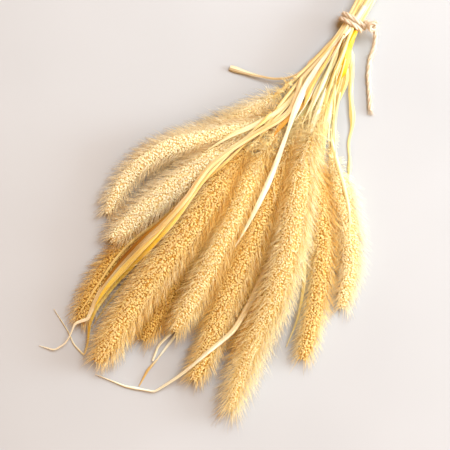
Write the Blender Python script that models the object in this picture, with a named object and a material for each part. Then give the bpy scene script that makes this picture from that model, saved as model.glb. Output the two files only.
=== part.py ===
# Dried bleached foxtail grass: a small bunch tied with twine, lying on a flat surface.
# Places and sizes are in millimetres, measured from the middle of the tie as the bunch is seen from
# above: x to the right, y up the page, z up from the surface. The meshes are in metres, with the
# bunch turned so that its stems point along +Y.

import math

import bmesh
import bpy
import numpy as np
from mathutils import Matrix, Vector

MM = 0.001
SEED = 11
GAP = 0.3

# The lie of the bunch
BUNCH_LEAN = math.radians(29.0)
TIE_HEIGHT = 7.5
TIE_PLACE = (-0.7, 30.5)

# Stems: their radii, the two rings that they stand in at the tie, and how they leave it
STEM_RADIUS_NECK = 0.75
STEM_RADIUS_TIE = 1.0
STEM_RADIUS_CUT = 1.15
NECK_DISTANCE = 110.0
INNER_RING = 1.36
OUTER_RING = 3.6
STEM_PAST_TIE = 150.0
CUT_SCATTER = 11.0
STEM_SPREAD = 2.5
STEM_SAG = 1.25
STEM_WANDER = 0.6
STEM_PITCH = 2.5
NECK_RUN = 7.0
TIE_RUN = 9.0

# How the stems are eased apart below the tie
STEM_CLEARANCE = 0.45
SETTLE_TURNS = 90
EASING_TURNS = 75
EASING = 0.35
HELD_BY_TIE = 6.0
HELD_BY_HEAD = 2.0
HOLD_FADE = 8.0

# Heads: rings of spikelet peaks, and the bristles that stand among them
HEAD_SIDES = 10
ROW_PITCH = 4.1
GRAIN = 1.3
NECK_RADIUS = 1.5
FLOOR_SQUASH = 1.0
BRISTLE_LENGTH = 7.0
BRISTLE_SHORTEST = 2.0
BRISTLE_ROOT = 0.19
BRISTLES_PER_MM = 0.58
BRISTLE_LEAN = math.radians(40.0)
TIP_BRISTLE_LEAN = math.radians(57.0)
BRISTLE_CLEARANCE = 0.5

# Leaves
BLADE = 0.75
LEAF_PITCH = 8.5
LEAF_ARCH = 0.35
LEAF_TIP = 0.12
LEAF_WIDEST = 0.35
LEAF_FOOT = 0.45
DRAPE_TURNS = 40

# Twine
TWINE = 2.4
WRAP_TURNS = 2
WRAP_POINTS = 14
WRAP_START = math.radians(28.0)
KNOT_TWINE = 2.3
KNOT_TURNS = 1.45
KNOT_START = math.radians(-60.0)
KNOT_RADIUS = 1.62
KNOT_POINTS = 22
TAIL_PITCH = 5.5

# One stalk for each head: the thickness of its seed body, its place in the tie (an angle round the
# outer ring, or a negative one round the inner ring) and the head's own line from neck to tip.
STALKS = {
    1: dict(core=4.0, slot=210, line=[
        (-41, -38.5, 8.5), (-59, -50, 6), (-70, -54.5, 5), (-82, -59.5, 4.2), (-107, -69.5, 4)]),
    2: dict(core=3.9, slot=170, line=[
        (-46, -49.5, 12), (-60, -55.5, 13), (-75, -59, 13), (-90, -62.5, 12.3),
        (-102, -68.5, 9.5), (-114.5, -79.5, 6), (-123.5, -95.5, 4)]),
    3: dict(core=5.9, slot=130, line=[
        (-57, -59.5, 13), (-64.5, -64.5, 13), (-77, -73.5, 12), (-97, -88, 9.5),
        (-114.5, -103.5, 7), (-121, -110, 6)]),
    4: dict(core=4.25, slot=250, line=[
        (-82, -89.5, 4.2), (-102, -107, 4.2), (-117, -117, 4.2), (-130.5, -135.5, 4.2),
        (-137.5, -150.5, 4)]),
    5: dict(core=6.7, slot=-150, line=[
        (-53.5, -65.5, 14.5), (-59.5, -72, 15), (-69.5, -87, 15.5), (-82, -103.5, 15),
        (-99.5, -127, 12), (-116, -150.5, 9), (-128.5, -170.5, 6)]),
    6: dict(core=5.4, slot=90, line=[
        (-44.5, -64.5, 14), (-49.5, -74.5, 15), (-61, -99.5, 15.5), (-71, -120.5, 14),
        (-83, -143.5, 11), (-89.5, -154.5, 9)]),
    7: dict(core=6.0, slot=-30, line=[
        (-32, -62, 12), (-37, -72, 12), (-47, -97, 12), (-57, -122, 10.5), (-66, -144.5, 8.5),
        (-75.5, -169.5, 6.5), (-80.5, -179.5, 5.5)]),
    8: dict(core=5.6, slot=50, line=[
        (-21, -57, 12.5), (-23.5, -64.5, 13.5), (-28.5, -89.5, 14.5), (-33, -114.5, 14),
        (-40.5, -139.5, 11.5), (-50, -159.5, 8.5), (-58, -182, 6), (-62, -195, 5)]),
    9: dict(core=4.5, slot=10, line=[
        (-19.5, -69.5, 7), (-16.5, -94.5, 5.2), (-15.5, -117, 4.5), (-18.5, -139.5, 4.5),
        (-25.5, -169.5, 4.2)]),
    10: dict(core=4.0, slot=330, line=[
        (-10.5, -69.5, 6), (-5.5, -89.5, 4.4), (-2, -107, 4), (-2, -127, 4), (-6, -143.5, 4)]),
    11: dict(core=5.0, slot=-270, line=[
        (-61, -74.5, 5), (-74.5, -103.5, 4.7), (-87, -127, 4.7), (-99.5, -149.5, 4.7),
        (-105.5, -159.5, 4.4)]),
    12: dict(core=4.6, slot=290, line=[
        (-35.5, -77, 5), (-40, -102, 4.4), (-44.5, -127, 4.4), (-53, -152, 4.4),
        (-59, -164.5, 4.2)]),
}

# Leaves in the order that they lie, lowest first. Each grows from a stem at a distance below the
# tie. A draped leaf rests on whatever is under it, and the others keep their own heights.
LEAVES = {
    7: dict(stem=6, at=68, foot="below", width=3.2, draped=False, line=[
        (-50, -77, 8), (-58, -92, 6.5), (-68, -113, 6.5), (-80, -138, 6), (-88, -152, 4.8),
        (-95, -162, 3.5), (-101, -170, 2.5)]),
    16: dict(stem=11, at=88, width=2.4, draped=False, line=[
        (-78, -125, 1.0), (-90, -147, 1.0), (-98, -163, 1.0), (-108, -183.5, 1.2)]),
    8: dict(stem=9, at=64, width=3.0, draped=False, line=[
        (-23, -90, 8), (-25, -112, 8), (-25, -132, 7), (-27, -145, 5.5), (-33.5, -163.5, 2.5)]),
    6: dict(stem=12, at=78, width=3.4, draped=False, line=[
        (-35.5, -92, 10.2), (-38.5, -112, 10.2), (-46, -128, 10.5), (-53.5, -143.5, 10.8),
        (-60, -154, 13.5), (-72, -164.5, 13), (-92, -181, 5), (-100.5, -186, 3),
        (-112, -185, 1.5), (-130, -177.5, 1.2)]),
    9: dict(stem=1, at=26, foot="below", width=4.4, draped=False, tip=0.9, line=[
        (-29.5, -27, 5.4), (-37, -28.5, 4.8), (-44.5, -27.5, 3.5), (-62, -22.5, 2)]),
    12: dict(stem=10, at=16, foot="right", width=2.8, draped=False, line=[
        (-1, -30, 5), (-1.5, -39.5, 4), (0, -48.5, 3), (-2, -59.5, 2), (-1.5, -72, 1.6),
        (-2, -78.5, 1.6)]),
    13: dict(stem=10, at=58, width=1.6, draped=True, line=[
        (-9, -68, 8), (-4.5, -84.5, 8), (-2, -99.5, 8), (-2.5, -109.5, 8)]),
    15: dict(stem=9, at=20, width=3.2, draped=True, line=[
        (-4, -30, 8), (-7, -38, 8), (-9.5, -44, 8)]),
    14: dict(stem=9, at=6, width=5.0, draped=True, line=[
        (-2.5, -12, 10), (-4.5, -22, 10), (-8, -31.5, 9)]),
    11: dict(stem=7, at=48, width=4.0, draped=True, line=[
        (-33, -47, 10), (-37, -52, 10), (-41.5, -59, 10)]),
    10: dict(stem=5, at=44, width=3.0, draped=True, line=[
        (-39, -46, 10), (-52, -53.5, 12), (-60, -57, 12), (-74.5, -66, 12)]),
    3: dict(stem=3, at=70, width=2.0, draped=True, line=[
        (-64, -71, 14), (-77, -82, 16), (-94.5, -97.5, 14), (-114.5, -113.5, 10),
        (-129.5, -134, 8), (-138, -147, 4)]),
    4: dict(stem=11, at=92, width=1.8, draped=True, line=[
        (-80, -93, 10), (-92, -105.5, 10), (-102, -117, 9), (-112, -128, 8), (-122, -139.5, 8),
        (-132, -154, 4)]),
    2: dict(stem=4, at=62, width=2.6, draped=True, line=[
        (-74, -79, 14), (-90, -100.5, 12), (-102, -113.5, 10), (-112, -123.5, 9),
        (-127, -141, 7), (-133, -154.5, 4), (-134, -163, 2), (-138.5, -166.5, 1.6),
        (-143, -159, 1.6), (-151, -144.5, 1.6)]),
    1: dict(stem=3, at=40, width=4.0, draped=True, line=[
        (-32, -44.5, 10), (-52, -58.5, 13), (-64.5, -67, 14), (-74.5, -76, 16), (-82, -87, 15),
        (-92, -98.5, 13), (-112, -117.5, 10), (-127, -135.5, 8), (-133.5, -147, 5),
        (-140, -151.5, 3), (-143.5, -160, 1.6), (-149, -165, 1.6), (-158.5, -163, 1.6)]),
    5: dict(stem=6, at=5, width=4.6, draped=True, line=[
        (-9.5, -12, 12), (-24.5, -33.5, 14), (-29.5, -44.5, 16), (-33, -54.5, 18),
        (-42, -78.5, 20), (-52, -99.5, 20), (-60.5, -114.5, 20)]),
}

TAIL_LINE = [
    (9.6, -0.8, 8.6), (11, -5.5, 5.6), (10.8, -12, 2.6), (8.8, -18.5, 1.4), (8, -26, 1.3),
    (8.5, -35, 1.3), (9, -44, 1.3)]


def along_bunch():
    return np.array([math.sin(BUNCH_LEAN), math.cos(BUNCH_LEAN), 0.0])


def across_bunch():
    return np.array([math.cos(BUNCH_LEAN), -math.sin(BUNCH_LEAN), 0.0])


def to_part(points):
    """Turns places seen from above into metres in the part's own frame."""
    turn = np.array([across_bunch(), along_bunch(), (0.0, 0.0, 1.0)])
    return (np.asarray(points, float) @ turn.T + (*TIE_PLACE, 0.0)) * MM


def unit(vectors):
    return vectors / np.linalg.norm(vectors, axis=-1, keepdims=True)


def smooth_line(points, pitch):
    """Points about a pitch apart on the smooth curve through the given ones."""
    knots = np.asarray(points, float)
    reach = np.concatenate([[0], np.cumsum(np.linalg.norm(np.diff(knots, axis=0), axis=1))])
    slope = np.gradient(knots, reach, axis=0)
    dense = np.linspace(0, reach[-1], int(reach[-1] * 4) + 2)
    first = np.clip(np.searchsorted(reach, dense, side="right") - 1, 0, len(reach) - 2)
    width = (reach[first + 1] - reach[first])[:, None]
    t = (dense[:, None] - reach[first][:, None]) / width
    curve = (
        (2 * t**3 - 3 * t**2 + 1) * knots[first]
        + (t**3 - 2 * t**2 + t) * width * slope[first]
        + (3 * t**2 - 2 * t**3) * knots[first + 1]
        + (t**3 - t**2) * width * slope[first + 1]
    )
    return even_line(curve, pitch)


def even_line(curve, pitch):
    """The same curve with its points spread evenly."""
    reach = np.concatenate([[0], np.cumsum(np.linalg.norm(np.diff(curve, axis=0), axis=1))])
    even = np.linspace(0, reach[-1], max(3, round(reach[-1] / pitch) + 1))
    return np.stack([np.interp(even, reach, curve[:, k]) for k in range(3)], axis=1)


def directions(line):
    return unit(np.gradient(line, axis=0))


def frames(line):
    """Direction, side and up vectors along a line."""
    ahead = directions(line)
    side = unit(np.cross(ahead, (0.0, 0.0, 1.0)))
    return ahead, side, np.cross(side, ahead)


# Stems

def slot_place(slot, spread=1.0):
    """Where a stem stands in the tie, or past it once the bundle has spread, from the middle."""
    ring = OUTER_RING if slot > 0 else INNER_RING
    angle = math.radians(abs(slot))
    across = across_bunch() * ring * math.cos(angle) * spread
    return across + np.array([0, 0, ring * math.sin(angle)])


def stem_guide(stalk, rng):
    """The stem's first line: from the neck to the tie, and on to its cut end."""
    slot = slot_place(stalk["slot"])
    in_tie = slot + np.array([0, 0, TIE_HEIGHT])
    past = STEM_PAST_TIE + rng.uniform(-CUT_SCATTER, CUT_SCATTER)
    cut = slot_place(stalk["slot"], STEM_SPREAD) + along_bunch() * past
    cut[2] = STEM_RADIUS_CUT + (slot[2] + OUTER_RING) * STEM_SAG
    wander = np.append(rng.uniform(-STEM_WANDER, STEM_WANDER, 2), 0.3 * slot[2])
    head = np.array(stalk["line"], float)
    neck_way = unit(head[0] - head[1])
    below_neck = head[0] + neck_way * NECK_RUN
    before_tie = in_tie - along_bunch() * TIE_RUN
    return [
        head[0] + neck_way * GAP,
        below_neck,
        below_neck * 0.45 + before_tie * 0.55,
        before_tie,
        in_tie,
        in_tie + along_bunch() * TIE_RUN,
        (in_tie + cut) / 2 + wander,
        cut,
    ]


def stem_radius(line):
    """Thin at the neck, full at the tie, thickest at the cut end."""
    reach = [-NECK_DISTANCE, 0, STEM_PAST_TIE]
    return np.interp(
        line @ along_bunch(), reach, [STEM_RADIUS_NECK, STEM_RADIUS_TIE, STEM_RADIUS_CUT])


def push_apart(line, radius, other, other_radius, share):
    """Moves a line's points off another line's, square to its own direction."""
    away = line[:, None] - other[None]
    distance = np.linalg.norm(away, axis=2)
    short = radius[:, None] + other_radius[None] + STEM_CLEARANCE - distance
    nearest = short.argmax(axis=1)
    row = np.arange(len(line))
    amount = np.clip(short[row, nearest], 0, None)[:, None] * share
    push = away[row, nearest] / np.maximum(distance[row, nearest], 0.01)[:, None]
    ahead = directions(line)
    push -= (push * ahead).sum(axis=1, keepdims=True) * ahead
    return push * amount


def looseness(line):
    """How free each point of a stem is: not at all in the tie, past it, or at the head."""
    from_tie = -(line @ along_bunch())
    from_head = np.linalg.norm(line - line[0], axis=1)
    return (
        np.clip((from_tie - HELD_BY_TIE) / HOLD_FADE, 0, 1)
        * np.clip((from_head - HELD_BY_HEAD) / HOLD_FADE, 0, 1)
    )


def stem_move(number, stems, radii, heads):
    """Where the other stems and heads push one stem."""
    line = stems[number]
    move = np.zeros_like(line)
    for other in stems:
        if other != number:
            axis, core = heads[other]
            move += push_apart(line, radii[number], stems[other], radii[other], 0.5)
            move += push_apart(line, radii[number], axis, core + GRAIN, 0.8)
    return move


def settle_stems(stems, heads):
    """Eases the stems apart between the tie and their necks, as a loose bundle lies."""
    radii = {number: stem_radius(line) for number, line in stems.items()}
    free = {number: looseness(line) for number, line in stems.items()}
    for turn in range(SETTLE_TURNS):
        moves = {number: stem_move(number, stems, radii, heads) for number in stems}
        for number, line in stems.items():
            line += moves[number] * free[number][:, None]
            if turn < EASING_TURNS:
                middle = (line[:-2] + line[2:]) / 2
                line[1:-1] += (middle - line[1:-1]) * EASING * free[number][1:-1, None]
            line[:, 2] = np.maximum(line[:, 2], radii[number])


def thinned(line):
    """Every fourth point of a stem, and far fewer past the tie, where it is nearly straight."""
    past_tie = line @ along_bunch() >= TIE_RUN + 5
    before = line[~past_tie]
    after = line[past_tie]
    return np.array([*before[::4], before[-1], *after[12::22], after[-1]])


# Heads

def head_profile(core, count):
    """Radius of the seed body from neck to tip."""
    t = np.linspace(0, 1, count)
    swell = np.clip(t / 0.17, 0, 1) ** 0.65
    taper = 1 - 0.4 * t**2.4
    round_tip = np.sqrt(np.clip(1 - (np.clip(t - 0.9, 0, 1) / 0.115) ** 2, 0, 1))
    return np.maximum(core * swell * taper * round_tip, NECK_RADIUS * (t < 0.5))


def nearest_surface(points, places, radii):
    """Distance from each point to the nearest of many balls, and a long way if there are none."""
    if not len(places):
        return np.full(len(points), 1e3)
    squared = (
        (points**2).sum(axis=1)[:, None] + (places**2).sum(axis=1)[None] - 2 * points @ places.T
    )
    return (np.sqrt(np.maximum(squared, 0)) - radii[None]).min(axis=1)


def near_only(line, places, radii, margin):
    """Only the balls that lie close enough to a line to matter."""
    distance = np.linalg.norm(places[:, None] - line[None], axis=2).min(axis=1)
    keep = distance < margin
    return places[keep], radii[keep]


def free_share(origins, ways, wanted, own, others, things):
    """How much of its wanted length each ray can have before it leaves its head's own room."""
    steps = np.linspace(0.15, 1.0, 26)
    reached = origins[:, None] + ways[:, None] * (wanted[:, None] * steps)[..., None]
    flat = reached.reshape(-1, 3)
    beyond = (wanted[:, None] * steps - own[:, None]).reshape(-1)
    clear = nearest_surface(flat, *others) - beyond > GAP
    clear &= nearest_surface(flat, *things) > GAP
    clear = clear.reshape(len(origins), -1)
    first_bad = np.where(clear.all(axis=1), len(steps), clear.argmin(axis=1))
    return np.where(first_bad == 0, steps[0], steps[np.maximum(first_bad - 1, 0)])


def pressed_radii(line, core, others, things):
    """The largest radius that each point of a head may have, pressed in by its neighbours."""
    rows = len(line)
    fine = 3
    places = np.linspace(0, rows - 1, (rows - 1) * fine + 1)
    dense = np.stack([np.interp(places, range(rows), line[:, k]) for k in range(3)], axis=1)
    own = np.interp(places, range(rows), core)
    _, side, up = frames(dense)
    angles = np.arange(HEAD_SIDES * fine) * 2 * math.pi / (HEAD_SIDES * fine)
    ways = side[:, None] * np.cos(angles)[None, :, None] + up[:, None] * np.sin(angles)[None, :, None]
    wanted = np.repeat(own + GRAIN, len(angles))
    share = free_share(
        np.repeat(dense, len(angles), axis=0), ways.reshape(-1, 3), wanted,
        np.repeat(own, len(angles)), others, things)
    limit = (share * wanted).reshape(len(dense), len(angles))
    limit = np.where(limit >= (own + GRAIN)[:, None] - 0.01, 1e3, limit)
    padded = np.pad(limit, ((fine, fine), (0, 0)), mode="edge")
    result = np.full((rows, HEAD_SIDES), 1e3)
    for down in range(-fine, fine + 1):
        for round_step in range(-fine, fine + 1):
            moved = np.roll(padded, -round_step, axis=1)
            result = np.minimum(result, moved[fine + down::fine, ::fine][:rows])
    return result


def head_grid(line, core, limits, rng):
    """Rings of points round a head, every other one raised as a spikelet."""
    _, side, up = frames(line)
    angles = (np.arange(HEAD_SIDES) + 0.5) * 2 * math.pi / HEAD_SIDES
    grid = np.empty((len(line), HEAD_SIDES, 3))
    for i in range(len(line)):
        for j, angle in enumerate(angles):
            raised = (i + j) % 2 == 0 and i > 0
            grain = GRAIN * rng.uniform(0.75, 1.0) * min(1.0, core[i] / 3) if raised else 0.0
            radius = min(core[i] + grain, limits[i, j])
            way = side[i] * math.cos(angle) + up[i] * math.sin(angle)
            point = line[i] + way * radius
            if point[2] < FLOOR_SQUASH:
                point[2] = 0.0
            grid[i, j] = point
    return grid


def head_mesh(grid, tip):
    """A closed body from the rings: spikelets are low four-sided peaks that cover the surface."""
    bm = bmesh.new()
    rings = [[bm.verts.new(point) for point in ring] for ring in grid]
    for i in range(len(rings) - 1):
        for j in range(HEAD_SIDES):
            k = (j + 1) % HEAD_SIDES
            a, b, c, d = rings[i][j], rings[i][k], rings[i + 1][k], rings[i + 1][j]
            if (i + j) % 2 == 0:
                faces = [(a, b, d), (b, c, d)]
            else:
                faces = [(a, b, c), (a, c, d)]
            for face in faces:
                bm.faces.new(face)
    end = bm.verts.new(tip)
    for j in range(HEAD_SIDES):
        bm.faces.new((rings[-1][j], rings[-1][(j + 1) % HEAD_SIDES], end))
    bm.faces.new(reversed(rings[0]))
    bmesh.ops.recalc_face_normals(bm, faces=bm.faces)
    bm.normal_update()
    return bm


def bristle_faces(bm, line, core, count):
    """Faces for the bristles, spread evenly along and round a head by the golden angle."""
    triangles = [face for face in bm.faces if len(face.verts) == 3]
    middles = np.array([face.calc_center_median() for face in triangles])
    _, side, up = frames(line)
    taken = np.zeros(len(triangles))
    chosen = []
    for k in range(count):
        row = round((k + 0.5) / count * (len(line) - 1))
        angle = k * math.pi * (3 - math.sqrt(5))
        way = side[row] * math.cos(angle) + up[row] * math.sin(angle)
        spot = line[row] + way * core[row]
        pick = int((np.linalg.norm(middles - spot, axis=1) + taken).argmin())
        taken[pick] = 1e3
        chosen.append(triangles[pick])
    return chosen


def bristle_share(root, way, length, line, core, others, things):
    """How much of a bristle stays nearer to its own head than to anything else."""
    steps = np.linspace(0.1, 1.0, 13)
    points = root + way * (length * steps)[:, None]
    own = nearest_surface(points, line, core)
    clear = points[:, 2] > 0.1
    clear &= nearest_surface(points, *others) - own > BRISTLE_CLEARANCE
    clear &= nearest_surface(points, *things) > BRISTLE_CLEARANCE
    good = int(np.argmin(clear)) if not clear.all() else len(steps)
    return steps[good - 1] if good else 0.0


def add_bristles(bm, line, core, others, things, rng):
    """Thin three-sided needles that lean to the tip, each kept in its own head's room."""
    ahead = directions(line)
    count = round(len(line) * ROW_PITCH * BRISTLES_PER_MM)
    for face in bristle_faces(bm, line, core, count):
        root = np.array(face.calc_center_median())
        row = int(np.linalg.norm(line - root, axis=1).argmin())
        out = root - line[row]
        out -= ahead[row] * (out @ ahead[row])
        lean = BRISTLE_LEAN if row < len(line) - 2 else TIP_BRISTLE_LEAN
        way = unit(out) * math.cos(lean) + ahead[row] * math.sin(lean)
        length = BRISTLE_LENGTH * rng.uniform(0.85, 1.1)
        length *= bristle_share(root, way, length, line, core, others, things)
        inner = 2 * face.calc_area() / sum(edge.calc_length() for edge in face.edges)
        if length < BRISTLE_SHORTEST or inner < BRISTLE_ROOT * 1.4:
            continue
        bmesh.ops.inset_individual(bm, faces=[face], thickness=inner - BRISTLE_ROOT)
        point = bmesh.ops.poke(bm, faces=[face])["verts"][0]
        point.co = Vector(root + way * length)


# Leaves

def leaf_support(line, half, heads, stems, laid):
    """The height at which a leaf just clears all that lies under it."""
    places = [axis for axis, _ in heads.values()] + list(stems.values()) + [p for p, _ in laid]
    radii = (
        [core + GRAIN for _, core in heads.values()]
        + [stem_radius(stem) for stem in stems.values()]
        + [r for _, r in laid]
    )
    places = np.concatenate(places)
    radii = np.concatenate(radii) + GAP + BLADE / 2
    apart = np.linalg.norm(line[:, None, :2] - places[None, :, :2], axis=2)
    apart = np.maximum(apart - half[:, None], 0)
    lift = np.sqrt(np.maximum(radii[None] ** 2 - apart**2, 0))
    tops = np.where(apart < radii[None], places[None, :, 2] + lift, BLADE)
    return tops.max(axis=1)


def leaf_half_width(leaf, count):
    """Narrow at the foot, widest a third of the way along, and drawn out to the tip."""
    t = np.linspace(0, 1, count)
    widen = LEAF_FOOT + (1 - LEAF_FOOT) * np.clip(t / LEAF_WIDEST, 0, 1)
    past_widest = np.clip((t - LEAF_WIDEST) / (1 - LEAF_WIDEST), 0, 1)
    narrow = 1 - (1 - leaf.get("tip", LEAF_TIP)) * past_widest**1.5
    return leaf["width"] / 2 * widen * narrow


def foot_offset(leaf):
    """From the middle of the stem to the foot of the leaf that grows from it."""
    clear = STEM_RADIUS_TIE + GAP
    above = np.array([0, 0, clear + BLADE / 2])
    below = np.array([0, 0, -clear - BLADE])
    beside = across_bunch() * (clear + leaf["width"] * 0.3)
    return {"above": above, "below": below, "right": beside}[leaf.get("foot", "above")]


def leaf_line(leaf, stem, heads, stems, laid):
    """A leaf's middle line, from its foot beside the stem."""
    down = -(stem @ along_bunch())
    foot = stem[np.abs(down - leaf["at"]).argmin()]
    foot = foot + foot_offset(leaf)
    if not leaf["draped"]:
        return smooth_line([foot] + leaf["line"], LEAF_PITCH)
    line = smooth_line([foot] + leaf["line"], 2.0)
    half = leaf_half_width(leaf, len(line))
    support = leaf_support(line, half, heads, stems, laid)
    height = support.copy()
    for _ in range(DRAPE_TURNS):
        height[1:-1] = np.maximum(support[1:-1], (height[:-2] + height[2:]) / 2)
        height[-1] = max(support[-1], 2 * height[-2] - height[-3] - 0.05)
    line[:, 2] = height
    return even_line(line, LEAF_PITCH)


def leaf_mesh(line, leaf):
    """An arched blade: a left edge, a rib and a right edge, above and below."""
    count = len(line)
    half = leaf_half_width(leaf, count)
    _, side, up = frames(line)
    arch = half * LEAF_ARCH
    edges = [
        line - side * half[:, None], line + up * arch[:, None], line + side * half[:, None]]
    bm = bmesh.new()
    top = [[bm.verts.new(p) for p in edge + up * BLADE / 2] for edge in edges]
    low = [[bm.verts.new(p) for p in edge - up * BLADE / 2] for edge in edges]
    for i in range(count - 1):
        for j in range(2):
            for layer in (top, low):
                a, b, c, d = layer[j][i], layer[j + 1][i], layer[j + 1][i + 1], layer[j][i + 1]
                bm.faces.new((a, b, c))
                bm.faces.new((a, c, d))
        for j in (0, 2):
            a, b, c, d = top[j][i], low[j][i], low[j][i + 1], top[j][i + 1]
            bm.faces.new((a, b, c))
            bm.faces.new((a, c, d))
    for i in (0, count - 1):
        bm.faces.new([row[i] for row in top] + [row[i] for row in reversed(low)])
    bmesh.ops.recalc_face_normals(bm, faces=bm.faces)
    return bm


def leaf_balls(line, leaf):
    """The blade as rows of small balls, for what has to keep clear of it."""
    fine = even_line(line, 1.2)
    half = leaf_half_width(leaf, len(fine))
    _, side, up = frames(fine)
    rows = []
    for across in (-1, -0.5, 0, 0.5, 1):
        rise = (1 - abs(across)) * half * LEAF_ARCH
        rows.append(fine + side * (half * across)[:, None] + up * rise[:, None])
    places = np.concatenate(rows)
    return places, np.full(len(places), BLADE / 2 + 0.3)


# Twine

def wrap_line():
    """Two turns of twine side by side round the stems, clear of them at the middle of each side."""
    bundle = OUTER_RING + STEM_RADIUS_TIE
    radius = (bundle + GAP + TWINE / 2) / math.cos(math.pi / WRAP_POINTS)
    line = []
    for k in range(WRAP_TURNS * WRAP_POINTS + 1):
        turn = k / WRAP_POINTS
        angle = WRAP_START + turn * 2 * math.pi
        line.append(
            across_bunch() * radius * math.cos(angle)
            + along_bunch() * (TWINE + GAP) * (turn - WRAP_TURNS / 2)
            + np.array([0, 0, TIE_HEIGHT + radius * math.sin(angle)])
        )
    return line


def knot_line():
    """One and a half tight turns beside the wrap, then a short end that stands out."""
    centre = across_bunch() * 9.3 + along_bunch() * 1.6 + np.array([0, 0, TIE_HEIGHT + 4.6])
    ahead = unit(across_bunch() * 0.35 - along_bunch() * 0.2 + np.array([0, 0, 0.9]))
    side = unit(np.cross(ahead, along_bunch()))
    up = np.cross(side, ahead)
    line = []
    for k in range(KNOT_POINTS):
        turn = KNOT_TURNS * k / (KNOT_POINTS - 1)
        angle = KNOT_START + turn * 2 * math.pi
        radius = KNOT_RADIUS + 2.6 * max(0.0, turn - 1.1) ** 1.3
        line.append(
            centre + side * radius * math.cos(angle) + up * radius * math.sin(angle)
            + ahead * TWINE * (turn - KNOT_TURNS / 2)
        )
    return line


# Objects

def finish_of(name, colour, roughness):
    """A plain material with the colour and roughness of one kind of piece."""
    made = bpy.data.materials.new(name)
    made.use_nodes = True
    shader = made.node_tree.nodes["Principled BSDF"]
    shader.inputs["Base Color"].default_value = (*colour, 1.0)
    shader.inputs["Roughness"].default_value = roughness
    shader.inputs["Metallic"].default_value = 0.0
    made.diffuse_color = (*colour, 1.0)
    return made


def add_mesh(name, bm, collection, finish):
    """Turns a body built in millimetres, seen from above, into an object of the part."""
    turn = Matrix([across_bunch(), along_bunch(), (0, 0, 1)]).to_4x4()
    place = Matrix.Translation((TIE_PLACE[0] * MM, TIE_PLACE[1] * MM, 0))
    bmesh.ops.transform(bm, matrix=place @ Matrix.Scale(MM, 4) @ turn, verts=bm.verts)
    mesh = bpy.data.meshes.new(name)
    bm.to_mesh(mesh)
    bm.free()
    mesh.materials.append(finish)
    made = bpy.data.objects.new(name, mesh)
    collection.objects.link(made)
    return made


def add_tube(name, line, radii, sides_step, collection, finish):
    """A round length as a curve with filled ends."""
    curve = bpy.data.curves.new(name, "CURVE")
    curve.dimensions = "3D"
    curve.bevel_depth = MM
    curve.bevel_resolution = sides_step
    curve.use_fill_caps = True
    spline = curve.splines.new("POLY")
    spline.points.add(len(line) - 1)
    for point, place, radius in zip(spline.points, to_part(line), radii):
        point.co = (*place, 1.0)
        point.radius = radius
    curve.materials.append(finish)
    made = bpy.data.objects.new(name, curve)
    collection.objects.link(made)
    return made


def clear_scene():
    for thing in list(bpy.data.objects):
        bpy.data.objects.remove(thing, do_unlink=True)


def add_stems(stems, collection):
    finish = finish_of("pale_straw", (0.78, 0.60, 0.32), 0.55)
    for number, line in stems.items():
        few = thinned(line)
        add_tube(f"stem_{number:02d}", few, stem_radius(few), 1, collection, finish)


def add_leaves(stems, heads, collection):
    """Lays the leaves one after another, and gives back the room that they take."""
    finish = finish_of("bleached_leaf", (0.83, 0.68, 0.42), 0.6)
    laid = []
    for number, leaf in LEAVES.items():
        line = leaf_line(leaf, stems[leaf["stem"]], heads, stems, laid)
        laid.append(leaf_balls(line, leaf))
        add_mesh(f"leaf_{number:02d}", leaf_mesh(line, leaf), collection, finish)
    return laid


def add_heads(stems, heads, laid, collection, rng):
    """Makes each head fill its own room among the other heads, the stems and the leaves."""
    finish = finish_of("golden_spikelets", (0.62, 0.36, 0.12), 0.75)
    for number, stalk in STALKS.items():
        line = smooth_line(stalk["line"], ROW_PITCH)
        core = head_profile(stalk["core"], len(line))
        others = [heads[n] for n in heads if n != number]
        things = [(stems[n], stem_radius(stems[n])) for n in stems if n != number] + laid
        others = near_only(line, *map(np.concatenate, zip(*others)), 30)
        things = near_only(line, *map(np.concatenate, zip(*things)), 18)
        limits = pressed_radii(line, core, others, things)
        tip = line[-1] + directions(line)[-1] * core[-2] * 0.4
        bm = head_mesh(head_grid(line, core, limits, rng), tip)
        add_bristles(bm, line, core, others, things, rng)
        add_mesh(f"seed_head_{number:02d}", bm, collection, finish)


def add_twine(collection):
    finish = finish_of("jute_twine", (0.62, 0.43, 0.28), 0.9)
    wrap = wrap_line()
    knot = knot_line()
    tail = smooth_line(TAIL_LINE, TAIL_PITCH)
    add_tube("twine_wrap", wrap, [TWINE / 2] * len(wrap), 1, collection, finish)
    add_tube("twine_knot", knot, [KNOT_TWINE / 2] * len(knot), 1, collection, finish)
    add_tube("twine_tail", tail, [TWINE / 2] * len(tail), 2, collection, finish)


def main():
    clear_scene()
    rng = np.random.default_rng(SEED)
    collection = bpy.data.collections.new("foxtail_bunch")
    bpy.context.scene.collection.children.link(collection)
    heads = {}
    stems = {}
    for number, stalk in STALKS.items():
        axis = smooth_line(stalk["line"], 1.5)
        heads[number] = (axis, head_profile(stalk["core"], len(axis)))
        stems[number] = smooth_line(stem_guide(stalk, rng), STEM_PITCH)
    settle_stems(stems, heads)
    add_stems(stems, collection)
    laid = add_leaves(stems, heads, collection)
    add_heads(stems, heads, laid, collection, rng)
    add_twine(collection)


main()
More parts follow.
